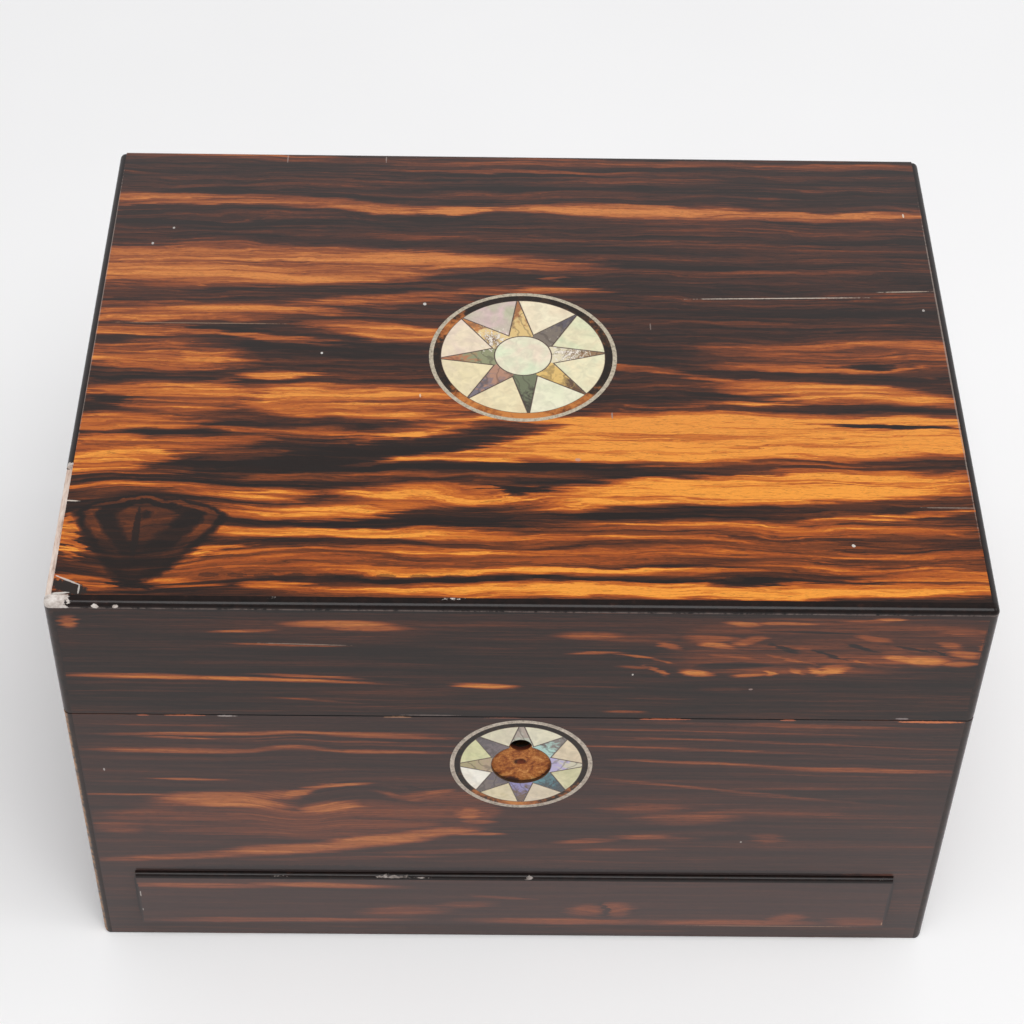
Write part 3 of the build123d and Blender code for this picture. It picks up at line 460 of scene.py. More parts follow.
    # Painted reflection of the pale table: a pale grey veil mixed in, stronger lower down
    if table_reflection:
        low_down = add(tree, "MapRange", {
            "Value": split["Y"], "From Min": 186, "From Max": 0, "To Max": table_reflection,
        })
        seen = add(tree, "Mix", {"Factor": low_down, 6: seen, 7: "B09A98"}, data_type="RGBA")
    wave = drawn_out(tree, flat, (1 / 26, 1 / 9, 1 / 26), 2)
    ripple = add(tree, "Bump", {"Height": wave, "Strength": 0.12, "Distance": 0.0004})
    plug(tree, surface, {"Base Color": seen, "Coat Normal": ripple})
    return material


TOP_FLAMES = [
    (-62, 110.5, 100, 2.2, 0.55, -0.03), (60, 110.5, 95, 2.4, 0.5), (-10, 104, 60, 1, 0.5),
    (-90, 92, 14, 0.8, 0.45), (-112, 86, 55, 3.2, 0.62, -0.02), (-50, 82.3, 45, 2.4, 0.72),
    (-20, 81.5, 14, 2.2, 0.85), (42, 82, 60, 3.2, 0.92, -0.01), (105, 80.3, 66, 2.8, 0.92),
    (-150, 48, 135, 11.5, 0.76, 0.033), (-25, 53, 38, 4.2, 0.74, -0.07), (5, 51, 30, 2.4, 0.68, -0.02),
    (9, 44, 5, 1.4, 0.8), (10, 37, 20, 3.2, 0.7), (-150, 23, 88, 5.8, 0.78), (-150, 14, 62, 3.2, 0.74),
    (-95, 11.5, 34, 2.4, 0.74, -0.15), (-45, 32, 50, 3, 0.7, 0.12), (-45, 13.5, 30, 4.2, 0.72, -0.12),
    (-128, 1, 38, 7, 0.62), (-113, 0, 16, 3.4, 0.78), (-82, -8.3, 19, 2.4, 0.8),
    (-108, -12, 18, 1.4, 0.62, 0.15), (-122, -20, 30, 8.5, 0.62), (-52, -21.5, 52, 8.5, 0.78, -0.01),
    (-136, -33.5, 28, 3.8, 0.74), (-80, -36, 36, 2.6, 0.52), (-141, -48, 24, 9.5, 0.76, 0.06),
    (-114, -42.5, 28, 3.6, 0.7, 0.06), (-18, -42.5, 46, 7.5, 0.86, 0.1), (70, -36.8, 125, 10.6, 0.98, 0.01),
    (75, -49, 85, 1.8, 0.55, 0.01), (-50, -57, 90, 2.2, 0.5, 0.03), (-27, -65, 40, 5.4, 0.84, 0.03),
    (78, -61.5, 90, 6.8, 1, 0.055), (-72, -73.5, 38, 3.6, 0.74, 0.05), (-60, -82.5, 66, 3.2, 0.76),
    (-50, -95, 85, 6, 0.62, 0.02), (70, -83, 110, 6.5, 0.52, 0.02), (60, -78, 58, 1.1, 0.7, 0.02),
    (125, -73.5, 38, 1.5, 0.72, 0.08), (30, -93, 64, 4.4, 0.66, 0.02), (110, -94, 60, 5, 0.56, 0.03),
    (0, -99.4, 95, 1.8, 0.74), (40, -107.2, 140, 3.8, 0.92, 0.01), (140, -104, 45, 5.6, 0.88, 0.03),
    (-80, -106, 14, 2.6, 0.75), (-140, -104.5, 20, 3.6, 0.84), (-112, -102.5, 16, 3, 0.76, -0.1),
    (-127, -59, 36, 1, 0.62), (-127, -64.5, 40, 1.3, 0.66), (-92, -67, 28, 2.4, 0.74, 0.04),
    (-148, -85, 5, 9, 0.74), (-95, -76, 16, 2.4, 0.6, 0.3), (-103, -90.5, 14, 2.2, 0.7, 0.35),
    (112, 5, 66, 7.5, 0.55), (80, 6, 22, 3, 0.66), (105, -1.5, 44, 2.4, 0.68),
    (45, -5, 24, 1.5, 0.64, -0.1), (85, -9.5, 28, 1.2, 0.62, -0.05), (115, -15.5, 46, 4.8, 0.88, -0.08),
    (85, -21, 17, 1.5, 0.68),
]
TOP_SHADES = [
    (-140, -22, 13, 3.6), (-92, 14, 30, 2, -0.12), (-60, -47, 72, 5.6, 0.22), (-10, -52, 74, 2.6, 0.05),
    (-3, -63, 9, 2.4, 0.2), (-25, -75, 27, 5, -0.02), (60, -72, 66, 4, 0.04), (125, -31, 30, 0.9, -0.08),
    (-60, -87.6, 64, 1.3), (-124.5, -99, 4, 7), (0, -102.8, 160, 1.4), (70, -103.3, 16, 2.4),
    (-102, 76, 9, 1.8), (125, -0.5, 14, 1.8),
]
TOP_KNOTS = [(-125, -82, 46, 34, 0.55, 0), (-102, 76, 26, 11, 0.3, 0), (-12, -67, 24, 14, 0.2, 4)]
TOP_EYE = (-124.5, -75, 22, 27, 31, 9, "989898")
TOP_MARKS = [
    (93, 34.3, 41, 0.32, "C9BAAA", 0.85, 0.028), (139, 38.6, 12, 0.3, "C0AC98", 0.8, 0.04),
    (143, -69.1, 14, 0.3, "8F8074", 0.7), (-113, 17.9, 38, 0.3, "9A7A62", 0.6),
    (-126, -84, 1.6, 15, "1A100C", 0.9), (-145, -107.6, 8.5, 3.6, "241C18", 1, -0.35),
    (-145.4, -104.8, 6, 0.45, "CFC6BE", 0.75, -0.48), (-141.6, -108.4, 0.4, 2.6, "CFC8C0", 0.7),
    (-147.5, -110.2, 4, 0.5, "DAD4CC", 0.8, 0.1), (-150, 30, 0.3, 92, "9A8C84", 0.5),
    (149.8, 0, 0.35, 104, "94877E", 0.6), (-149.6, -69.6, 4.5, 0.35, "D0C4B8", 0.9, -0.05),
    (-128, 70, 0.6, 0.7, "B8B4AE", 0.9), (-135, 61, 0.6, 0.9, "B8B4AE", 0.9),
    (-70, 3, 0.6, 0.7, "D8D4CE", 0.9), (-34.5, 29.3, 0.8, 0.9, "C8C4BE", 0.9),
    (108, -86.6, 0.8, 0.9, "CFC9C0", 0.9), (144.6, 28.6, 0.6, 0.8, "A8A29C", 0.9),
    (143.3, 81.5, 0.4, 1.4, "CFC2B0", 0.9), (31, -27, 0.4, 2, "8E8078", 0.8),
    (-35, -18, 0.4, 1.2, "D8C8B0", 0.7), (18.8, -48.4, 1.2, 1, "A88C88", 0.6),
    (46, 18.5, 0.3, 2.4, "8A7A72", 0.6), (-88.5, 111.5, 0.3, 3, "9A8A82", 0.6),
    (-51, 111.5, 0.3, 2.4, "9A8A82", 0.6),
]
for x in (-101, -92, -83, -73, -63, -54, -44, -33, -22, -12, 0, 12, 24, 38, 52, 68):
    TOP_MARKS.append((x, -101.8, 4.4, 1.3, "2E1A10", 0.6))
top_leaf = coromandel("coromandel of the lid's top", "X", "Y", TOP_FLAMES, TOP_SHADES, TOP_KNOTS, TOP_EYE,
                      TOP_MARKS, russet=(-60, 60), ground=0.19)
dress(top_leaf, "lid_top_veneer")

LID_FRONT_FLAMES = [
    (10, 177, 150, 6.5, 0.24), (-60, 174, 44, 5, 0.3), (100, 173, 60, 9, 0.38),
    (97, 163, 56, 8, 0.46, 0.03), (-145, 177.5, 4, 3.4, 0.75), (-60, 177.3, 20, 2, 0.81),
    (-50, 175.3, 16, 1.5, 0.75), (-88, 173.8, 14, 0.8, 0.65, 0.06), (-75, 167, 20, 0.5, 0.65, -0.02),
    (-125, 150.6, 32, 1.4, 0.73, -0.02), (-90, 149.4, 50, 1, 0.69, -0.045),
    (-70, 150.8, 22, 0.8, 0.65, -0.06), (-12, 146.8, 13, 1.5, 0.83, -0.03), (20, 147, 18, 0.5, 0.36, -0.02),
    (-130, 142.8, 28, 0.5, 0.32), (-70, 139, 18, 0.5, 0.32, -0.1), (22, 172.8, 16, 1.9, 0.75, -0.02),
    (38, 172, 20, 2.2, 0.57), (25, 164.3, 11, 0.7, 0.77, 0.03), (38, 162.8, 9, 0.7, 0.75, -0.16),
    (46, 160.5, 6, 0.5, 0.65, -0.3), (60, 171.8, 13, 2.2, 0.75), (73, 171, 8, 2, 0.75, 0.35),
    (62, 168.6, 8, 1.6, 0.83, -0.15), (48, 168, 6, 1.4, 0.65, -0.3), (70, 163, 12, 0.8, 0.65, -0.12),
    (72, 179.2, 8, 1.4, 0.75, -0.12), (85, 179.5, 12, 0.9, 0.65), (110, 181, 14, 0.9, 0.61),
    (117, 182, 7, 1.1, 0.73), (37, 157.2, 6, 0.9, 0.57, -0.1), (44, 155.6, 6, 0.9, 0.69, -0.6),
    (57, 154.8, 7, 1.7, 0.83, -0.15), (75, 153.6, 7, 0.9, 0.73, 0.05), (81, 154.8, 2.5, 1.6, 0.77, -0.3),
    (90, 156, 4, 1.2, 0.65, -0.8), (96, 156, 5, 1.6, 0.73, -0.7), (103, 157.8, 8, 2, 0.89, 0.05),
    (101, 155.6, 7, 1.4, 0.83, 0.15), (86, 162.5, 10, 0.7, 0.65, -0.38), (93, 160.5, 8, 0.6, 0.65, -0.38),
    (92, 166.5, 8, 1.3, 0.61, -0.2), (112, 160.4, 6, 0.7, 0.63, -0.3), (124, 162.6, 7, 1.8, 0.81, -0.15),
    (132, 161.4, 10, 2.8, 0.87, -0.05), (143, 160.2, 8, 1.5, 0.83), (121, 165.6, 8, 1.1, 0.59),
    (138, 169.6, 5, 1.7, 0.73, -0.2), (143, 165.2, 7, 2, 0.75, -0.25), (113, 172.6, 9, 1.5, 0.63, -0.25),
    (149, 168, 2.5, 5, 0.65), (143, 176, 12, 1.4, 0.55), (118, 158.8, 9, 0.7, 0.57, -0.1),
    (67, 147, 10, 1.5, 0.26), (45, 141, 12, 0.5, 0.26), (35, 134, 9, 0.6, 0.61),
]
LID_FRONT_SHADES = [
    (84, 167.5, 9, 1, -0.45), (100, 164, 10, 0.9, -0.4), (110, 168, 9, 1, -0.35),
    (128, 167.5, 8, 0.8, -0.3), (136, 165.5, 7, 0.6, -0.5), (68, 158.5, 18, 2.2, 0.05),
    (92, 175.5, 24, 0.8, -0.04),
]
LID_FRONT_MARKS_AND_PAINTED_SHADE = [
    # Painted shade: the first, a dark line along the seam over the case. The second is a dark line under the
    # bead
    (0, 130.7, 150, 0.35, "120A09", 1), (0, 183.4, 149, 0.5, "17100D", 0.9),
    (-70, 167.3, 18, 0.3, "B49884", 0.5, -0.03), (-149.3, 157, 0.25, 28, "180D0B", 0.8),
    (149.3, 157, 0.25, 28, "180D0B", 0.8), (128, 131.4, 3, 0.5, "9A8C88", 0.7),
    (-30, 131.2, 12, 0.35, "8A7A74", 0.5), (36.6, 153.4, 0.4, 0.6, "C8C0B8", 0.9),
    (76, 146.3, 0.9, 0.6, "A88C84", 0.7),
]
lid_front_leaf = coromandel("coromandel of the lid's front", "X", "Z", LID_FRONT_FLAMES, LID_FRONT_SHADES,
                            marks_and_painted_shade=LID_FRONT_MARKS_AND_PAINTED_SHADE, russet=(100, 190), ground=0.1, wander=(10, 2, 8, 1.2),
                            streaks=(0.9, 0.8, 0.5), gloss=0.6, table_reflection=0.05)
dress(lid_front_leaf, "lid_front_veneer")

BASE_FRONT_FLAMES = [
    (-110, 120, 42, 1, 0.68, 0.01), (-60, 121, 40, 1.1, 0.7), (-45, 119.7, 30, 1.1, 0.7, -0.02),
    (-115, 117.7, 16, 0.7, 0.74, -0.03), (-85, 118, 24, 0.5, 0.5, 0.03), (-60, 116.5, 30, 0.5, 0.46),
    (-40, 114.5, 24, 0.5, 0.46), (-110, 110.8, 44, 1.4, 0.68), (-76, 112, 14, 1.2, 0.66),
    (-50, 111, 30, 1.1, 0.64), (-120, 125, 30, 0.5, 0.4), (40, 115, 30, 0.6, 0.5, -0.03),
    (90, 127, 60, 1.1, 0.52, -0.02), (80, 123, 70, 0.5, 0.44, -0.03), (85, 118, 66, 0.6, 0.48, -0.05),
    (95, 112, 56, 0.7, 0.46, -0.05), (60, 106.5, 36, 0.9, 0.66, -0.06), (120, 103, 40, 1.4, 0.64, -0.02),
    (100, 100, 50, 0.5, 0.4, -0.03), (70, 91, 50, 0.9, 0.52, -0.15), (45, 94, 16, 0.6, 0.5, -0.1),
    (100, 86, 40, 0.7, 0.4, -0.1), (-112, 95, 18, 0.7, 0.68), (-135, 93, 14, 0.7, 0.4),
    (-135, 85.5, 22, 0.8, 0.54), (-105, 84.5, 26, 3.8, 0.8, 0.06), (-98, 82, 22, 3.4, 0.8),
    (-78, 88, 10, 1.4, 0.8, 0.2), (-62, 91.8, 14, 0.9, 0.8, 0.09), (-65, 80.5, 14, 3.2, 0.78),
    (-90, 86, 18, 2.6, 0.74, 0.12), (-100, 72, 50, 9, 0.46), (-60, 72, 40, 10, 0.48, 0.1),
    (-20, 80, 14, 10, 0.43), (-40, 86, 12, 1.1, 0.52, -0.3), (-33, 87, 12, 2.6, 0.54, 0.1),
    (-28, 89, 10, 1.1, 0.68, 0.15), (-18, 76, 6, 4.5, 0.68), (-14, 71.5, 8, 1.4, 0.68),
    (-140, 47, 16, 1.1, 0.52, 0.02), (-115, 49.5, 34, 1.9, 0.68, 0.05), (-80, 54, 34, 3.2, 0.8, 0.11),
    (-50, 60, 28, 3.8, 0.82, 0.16), (-28, 65, 18, 2.8, 0.84, 0.1), (-14, 64, 10, 1, 0.76),
    (-140, 67, 12, 4.6, 0.52), (-25, 53.5, 26, 1.5, 0.52, 0.04), (-60, 49, 40, 1.1, 0.38, 0.05),
    (45, 80, 20, 2.8, 0.48), (60, 74, 22, 3.6, 0.52), (85, 78, 30, 1.8, 0.4),
    (25, 60.5, 12, 1.5, 0.64, 0.1), (45, 63, 12, 1.8, 0.64), (55, 62, 14, 1.3, 0.5), (90, 63, 7, 3, 0.5),
    (35, 55, 20, 1.1, 0.46, 0.03), (115, 70, 40, 1.1, 0.36), (60, 66, 30, 0.9, 0.4),
    (110, 92, 40, 0.9, 0.38),
]
BASE_FRONT_KNOTS = [(-76, 92, 22, 34, 0.28, 3), (-38, 90, 15, 12, 0.4, 2)]
BASE_FRONT_MARKS_AND_PAINTED_SHADE = [
    # Painted shade: the first, a dark line along the seam under the lid. Then rubbed orange arrises on the
    # top edge
    (0, 130.3, 150, 0.45, "120A09", 1), (138, 129.7, 14, 0.7, "C86E3C", 1),
    (48, 130, 11, 0.5, "B05C38", 0.9), (90, 130, 3.5, 0.5, "A85A3A", 0.9),
    (-112, 130, 9, 0.4, "B0603A", 0.9), (-126, 130, 3, 0.4, "A85A3A", 0.9),
    (-98, 129.9, 4, 0.5, "A89C96", 0.8), (-41, 130, 6, 0.4, "A87A5A", 0.7),
    (-5, 130, 8, 0.35, "7A4A38", 0.8), (-143, 9.3, 8, 0.4, "1A0F0D", 0.9),
    (143, 9.3, 8, 0.4, "1A0F0D", 0.9), (0, 9, 140, 0.35, "1A0F0D", 0.9),
    (143, 40.4, 8, 0.35, "1A0F0D", 0.85), (-143, 40.4, 8, 0.3, "1A0F0D", 0.6),
    # Painted shadow and reflection: a black band just above the drawer, where the drawer's proud top edge
    # shades the veneer and shows dark in its polish
    (0, 40.6, 139, 0.9, "120A09", 1), (-74, 41.6, 67, 3.4, "0E0807", 1, -0.004),
    (0, 41.2, 90, 3.2, "0E0807", 1, -0.004), (74, 40.9, 67, 3.1, "0E0807", 1, -0.004),
    # Painted shade in the gaps beside the drawer, on the stiles
    (-137.7, 25, 0.7, 17, "120A09", 1), (137.7, 25, 0.7, 17, "120A09", 1),
    (-149.3, 68, 0.25, 62, "1A0F0D", 0.7), (149.3, 68, 0.25, 62, "1A0F0D", 0.7),
    (-142, 100, 0.35, 0.9, "B8B0AC", 0.8), (80, 60.5, 0.4, 0.4, "C8C0B8", 0.9),
]
base_front_leaf = coromandel("coromandel of the case's front", "X", "Z", BASE_FRONT_FLAMES,
                             [(-38, 90.3, 5, 1.5)], BASE_FRONT_KNOTS, None, BASE_FRONT_MARKS_AND_PAINTED_SHADE,
                             russet=(0, 30), ground=0.17,
                             wander=(10, 2, 12, 1.4), streaks=(0.7, 0.7, 0.5), gloss=0.6, table_reflection=0.1)
dress(base_front_leaf, "base_front_veneers", "drawer_stiles")

DRAWER_FLAMES = [
    (-115, 33.5, 34, 1.8, 0.62, -0.01), (-68, 34.2, 30, 1.8, 0.66, -0.02), (-40, 18, 19, 3.6, 0.51, 0.06),
    (-18, 22.5, 13, 2.2, 0.47, 0.06), (-5, 27.5, 16, 0.9, 0.47, -0.1), (-85, 12, 56, 1.6, 0.59, 0.01),
    (15, 12.5, 40, 2.2, 0.55), (80, 12, 40, 2, 0.55), (100, 14.5, 9, 3, 0.51, 0.3),
    (128, 13, 14, 3.2, 0.51), (26, 19.5, 8, 3.4, 0.51), (38, 20, 6, 4.4, 0.51),
]
DRAWER_MARKS_AND_PAINTED_SHADE = [
    # Painted shade: the first two are dark lines in the gaps at the drawer's sides
    (-136.8, 23, 0.6, 17, "120A09", 1), (136.8, 23, 0.6, 17, "120A09", 1),
    (0, 9.6, 140, 0.35, "1A0F0D", 0.8), (-136.2, 28, 0.3, 2, "B8B0A8", 0.8),
    (-136.2, 18, 0.3, 1, "A8A09A", 0.7), (136.2, 12, 0.3, 1.2, "B08868", 0.8),
    (95, 9.9, 40, 0.3, "A87858", 0.6),
]
drawer_leaf = coromandel("coromandel of the drawer's front", "X", "Z", DRAWER_FLAMES, [(33.5, 20, 1.6, 5.5)],
                         [(33, 20, 16, 9, 0.4, 3)], None, DRAWER_MARKS_AND_PAINTED_SHADE, russet=(-30, 20), ground=0.17,
                         wander=(10, 2, 12, 1.4), streaks=(0.6, 0.45, 0.3), gloss=0.6, table_reflection=0.12)
dress(drawer_leaf, "drawer_front_veneer")

SIDE_FLAMES = [
    (-60, 172, 60, 2.2, 0.8, 0.02), (40, 165, 70, 3.4, 0.72, -0.03), (70, 148, 50, 2, 0.66, 0.02),
    (-40, 141, 45, 1.4, 0.6), (-50, 112, 75, 4, 0.78, 0.03), (60, 98, 70, 3, 0.7, -0.03),
    (10, 84, 60, 2, 0.62, 0.02), (-70, 66, 50, 4.4, 0.8, 0.04), (60, 52, 75, 3.6, 0.74, -0.02),
    (-20, 34, 70, 2, 0.66, 0.02), (70, 20, 60, 3, 0.7), (-60, 12, 60, 1.6, 0.62),
]
SIDE_LOOK = {
    "russet": (60, 220), "wander": (24, 5, 16, 2), "streaks": (1, 0.8, 0.4), "gloss": 0.7, "table_reflection": 0.05,
}
side_leaf = coromandel("coromandel of the sides", "Y", "Z", SIDE_FLAMES, knots=[(-20, 90, 40, 26, 0.5, 9)],
                       **SIDE_LOOK)
dress(side_leaf, "base_side_veneers")
lid_side_leaf = coromandel("coromandel of the lid's sides", "Y", "Z", SIDE_FLAMES[:4], **SIDE_LOOK)
tree = lid_side_leaf.node_tree
surface = tree.nodes["Principled BSDF"]
place = millimetres(tree)
parts = add(tree, "SeparateXYZ", {0: place}).outputs
on_top = add(tree, "MapRange", {"Value": parts["Z"], "From Min": 183.5, "From Max": 183.8})
at_left = add(tree, "MapRange", {"Value": parts["X"], "From Min": 0, "From Max": -1})
bared = add(tree, "Math", {0: on_top, 1: at_left}, operation="MULTIPLY")
veneer = surface.inputs["Base Color"].links[0].from_socket
groove = add(tree, "Mix", {"Factor": bared, 6: veneer, 7: old_glue(tree, place)}, data_type="RGBA")
plug(tree, surface, {"Base Color": groove})
dress(lid_side_leaf, "lid_side_veneers")

BACK_FLAMES = [
    (-80, 170, 90, 2.6, 0.74, -0.02), (70, 160, 90, 4, 0.8, 0.03), (20, 146, 80, 1.6, 0.62),
    (-90, 118, 80, 4.4, 0.78, 0.02), (60, 108, 110, 3, 0.7, -0.02), (-20, 92, 90, 2, 0.62, 0.02),
    (100, 78, 70, 5, 0.84, 0.04), (-80, 64, 100, 3.6, 0.74, -0.02), (40, 46, 110, 2.6, 0.7, 0.02),
    (-60, 28, 100, 3.6, 0.76, 0.01), (90, 16, 70, 2, 0.66),
]
back_leaf = coromandel("coromandel of the back", "X", "Z", BACK_FLAMES, knots=[(50, 84, 44, 28, 0.5, 10)],
                       **SIDE_LOOK)
dress(back_leaf, "base_back_veneer", "lid_back_veneer")

frame_leaf = coromandel("coromandel of the mirror frame", "X", "Y", [
    (-40, 58, 60, 1.6, 0.7), (50, -57, 50, 1.6, 0.7), (-95, 0, 12, 30, 0.6), (95, 20, 12, 24, 0.6),
])
dress(frame_leaf, "mirror_frame")

# Ebonised beads, corner strips, drawer edge and tray knobs
# Pearwood stained black and French polished, turned or scratch-stocked to a round. In front its edges are
# rubbed brown, and where it was knocked the polish is chipped off down to the pale wood. A pale line along
# the front bead's lower arris is a painted highlight.


def ebonised(name, bruises=(), wear=0, stain=("0E0807", "1C100D", "301811"), edges=(),
             under=("8E8078", "C4BAB2", "E4DED8"), gloss=0.9):
    """Black stained and polished pearwood. A bruise is its middle in mm, its reach along X, Y and Z, and how
    much of it is chipped. An edge, rubbed or with a painted highlight, is an axis, where it starts and is
    full in mm, its colour and share.
    """
    material, tree, surface = finish(name, {
        "Roughness": 0.5, "Specular IOR Level": 0.1, "Coat Weight": gloss, "Coat Roughness": 0.06,
    })
    place = millimetres(tree)
    grain = add(tree, "TexNoise", {"Vector": place, "Scale": 0.35, "Detail": 5, "Roughness": 0.7})
    colour = add(tree, "ValToRGB", {0: grain}, zip((0.35, 0.6, 0.8), stain))
    rub = add(tree, "MapRange", {
        "Value": grain, "From Min": 0.62 - 0.35 * wear, "From Max": 0.72 - 0.2 * wear, "To Max": 0.4 + wear,
    })
    last = add(tree, "Mix", {"Factor": rub, 6: colour, 7: "3A2418"}, data_type="RGBA")
    shards = drawn_out(tree, place, (0.5, 0.9, 0.9), 4, Roughness=0.7)
    chipped = 0
    for middle, reach, share in bruises:
        knock = add(tree, "Math", {0: ball(tree, place, middle, reach), 1: share, 2: shards},
                    operation="MULTIPLY_ADD")
        chipped = add(tree, "Math", {0: knock, 1: chipped}, operation="MAXIMUM")
    parts = add(tree, "SeparateXYZ", {0: place}).outputs
    mottled = add(tree, "MapRange", {"Value": grain, "From Min": 0.4, "From Max": 0.56})
    front = add(tree, "MapRange", {"Value": parts["Y"], "From Min": -108, "From Max": -111})
    mottled = add(tree, "Math", {0: mottled, 1: front}, operation="MULTIPLY")
    # Rubbed edges, and on the front bead a painted highlight along its lower arris, laid on in patches
    for axis, start, full, code, share in edges:
        near = add(tree, "MapRange", {
            "Value": parts[axis], "From Min": start, "From Max": full, "To Max": share,
        })
        patchy = add(tree, "Math", {0: near, 1: mottled}, operation="MULTIPLY")
        last = add(tree, "Mix", {"Factor": patchy, 6: last, 7: code}, data_type="RGBA")
    if bruises:
        bared = add(tree, "ValToRGB", {0: grain}, zip((0.3, 0.5, 0.7), under))
        bite = add(tree, "MapRange", {"Value": chipped, "From Min": 0.78, "From Max": 0.82})
        last = add(tree, "Mix", {"Factor": bite, 6: last, 7: bared}, data_type="RGBA")
        dull = add(tree, "MapRange", {"Value": bite, "To Min": 0.5, "To Max": 0.9})
        dent = add(tree, "Bump", {"Height": bite, "Strength": 0.8, "Distance": 0.0006}, invert=True)
        plug(tree, surface, {"Roughness": dull, "Normal": dent, "Coat Normal": dent})
    plug(tree, surface, {"Base Color": last})
    return material


bead_finish = ebonised("ebonised pearwood of the front bead", [
    ((-149, -112.5, 185.5), (7, 6, 5), 0.9),
    ((-136, -114.3, 184.8), (1.6, 1.6, 1.2), 0.9),
    ((-129.5, -114.3, 184.8), (1.4, 1.6, 1), 0.9),
    ((-80, -111, 186), (3, 2, 2), 0.4),
    ((-22, -111, 186.4), (6, 2.2, 2), 0.42),
# The pale edge low on the bead is a painted highlight along its lower arris
], edges=[("Z", 184.7, 184.2, "84746E", 0.6)], gloss=0.3)
dress(bead_finish, "lid_front_bead")
side_bead_finish = ebonised("ebonised pearwood of the side beads", [
    ((-151, -53, 185.5), (3, 3, 3), 0.6),
], gloss=0.6)
dress(side_bead_finish, "lid_side_beads")
STRIP_STAIN = ("1A0E0A", "2B1811", "43271A")
lid_strip_finish = ebonised("ebonised pearwood of the lid's corners", wear=0.1, stain=STRIP_STAIN, edges=[
    ("X", -151.3, -152.2, "5A4448", 0.8), ("X", 151.3, 152.2, "5A4448", 0.8),
], gloss=0.6)
dress(lid_strip_finish, "lid_corner_strips")
base_strip_finish = ebonised("rubbed pearwood of the case's corners", wear=0.1, stain=STRIP_STAIN, edges=[
    ("X", -150.9, -151.9, "BC8450", 0.85), ("X", 151.3, 152.2, "5A3C44", 0.8),
], gloss=0.6)
dress(base_strip_finish, "base_corner_strips")
drawer_strip_finish = ebonised("ebonised pearwood of the drawer's edge", [
    ((-43, -116.2, 39.4), (13, 2.4, 1.1), 0.5),
    ((-34, -116.2, 39.2), (8, 2, 0.8), 0.45),
    ((5, -116.2, 39.4), (2.6, 2.4, 1.8), 0.5),
    ((-85, -116.2, 39.4), (10, 2, 0.6), 0.35),
    ((134, -116.2, 39.6), (4, 2, 0.8), 0.4),
], under=("5A504C", "8A807A", "B8AEA8"), gloss=0.3)
dress(drawer_strip_finish, "drawer_top_strip")
dress(ebonised("ebonised pearwood"), "tray_knobs")

# Star inlays
# Each star is set in a shallow round seat: a pewter stringing, a ring of ebonised wood, eight segments of
# mother-of-pearl and eight pointed slips of abalone shell between them, levelled and polished together.
# The pieces are told apart by their turn round the star, and dark glue shows in the joints.


def star_place(tree, centre, across, turn):
    """Place on a star in mm, distance from its centre, turn round it, and reach and side in a half slip."""
    shifted = add(tree, "VectorMath", {0: millimetres(tree), 1: centre}, operation="SUBTRACT")
    parts = add(tree, "SeparateXYZ", {0: shifted}).outputs
    flat = add(tree, "CombineXYZ", {0: parts["X"], 1: parts[across]})
    away = add(tree, "VectorMath", {0: flat}, operation="LENGTH")
    angle = add(tree, "Math", {0: parts[across], 1: parts["X"]}, operation="ARCTAN2")
    whole = add(tree, "Math", {0: angle, 1: 1 / math.tau, 2: 2 - turn / 360}, operation="MULTIPLY_ADD")
    eighths = add(tree, "Math", {0: whole, 1: 8}, operation="MULTIPLY")
    folded = add(tree, "Math", {0: eighths, 1: 0.5}, operation="PINGPONG")
    bearing = add(tree, "Math", {0: folded, 1: math.tau / 8}, operation="MULTIPLY")
    reach, side = [
        add(tree, "Math", {0: add(tree, "Math", {0: bearing}, operation=part), 1: away}, operation="MULTIPLY")
        for part in ("COSINE", "SINE")
    ]
    return flat, away, whole, reach, side


def glue_lines(tree, away, reach, side, field, valley, tip_width, disc, line):
    """1 on the joints between the star's pieces, 0 elsewhere."""
    tip = Vector((field, tip_width / 2))
    dip = Vector((valley * math.cos(math.pi / 8), valley * math.sin(math.pi / 8)))
    run = (dip - tip).normalized()
    normal = Vector((-run.y, run.x))
    joint = add(tree, "Math", {0: reach, 1: normal.x, 2: -normal.dot(tip)}, operation="MULTIPLY_ADD")
    joint = add(tree, "Math", {0: side, 1: normal.y, 2: joint}, operation="MULTIPLY_ADD")
    near = add(tree, "Math", {0: joint}, operation="ABSOLUTE")
    for radius in (disc, field):
        ring = add(tree, "Math", {0: away, 1: radius}, operation="SUBTRACT")
        ring = add(tree, "Math", {0: ring}, operation="ABSOLUTE")
        near = add(tree, "Math", {0: near, 1: ring}, operation="MINIMUM")
    return add(tree, "MapRange", {
        "Value": near, "From Min": line * 0.35, "From Max": line, "To Min": 1, "To Max": 0,
    })


def by_turn(tree, whole, shift, colours):
    """One colour for each eighth of the star, from the east round by the north."""
    turned = add(tree, "Math", {0: whole, 1: shift}, operation="ADD")
    part = add(tree, "Math", {0: turned}, operation="FRACT")
    ramp = add(tree, "ValToRGB", {0: part}, [(i / 8, code) for i, code in enumerate(colours)])
    ramp.color_ramp.interpolation = "CONSTANT"
    return ramp


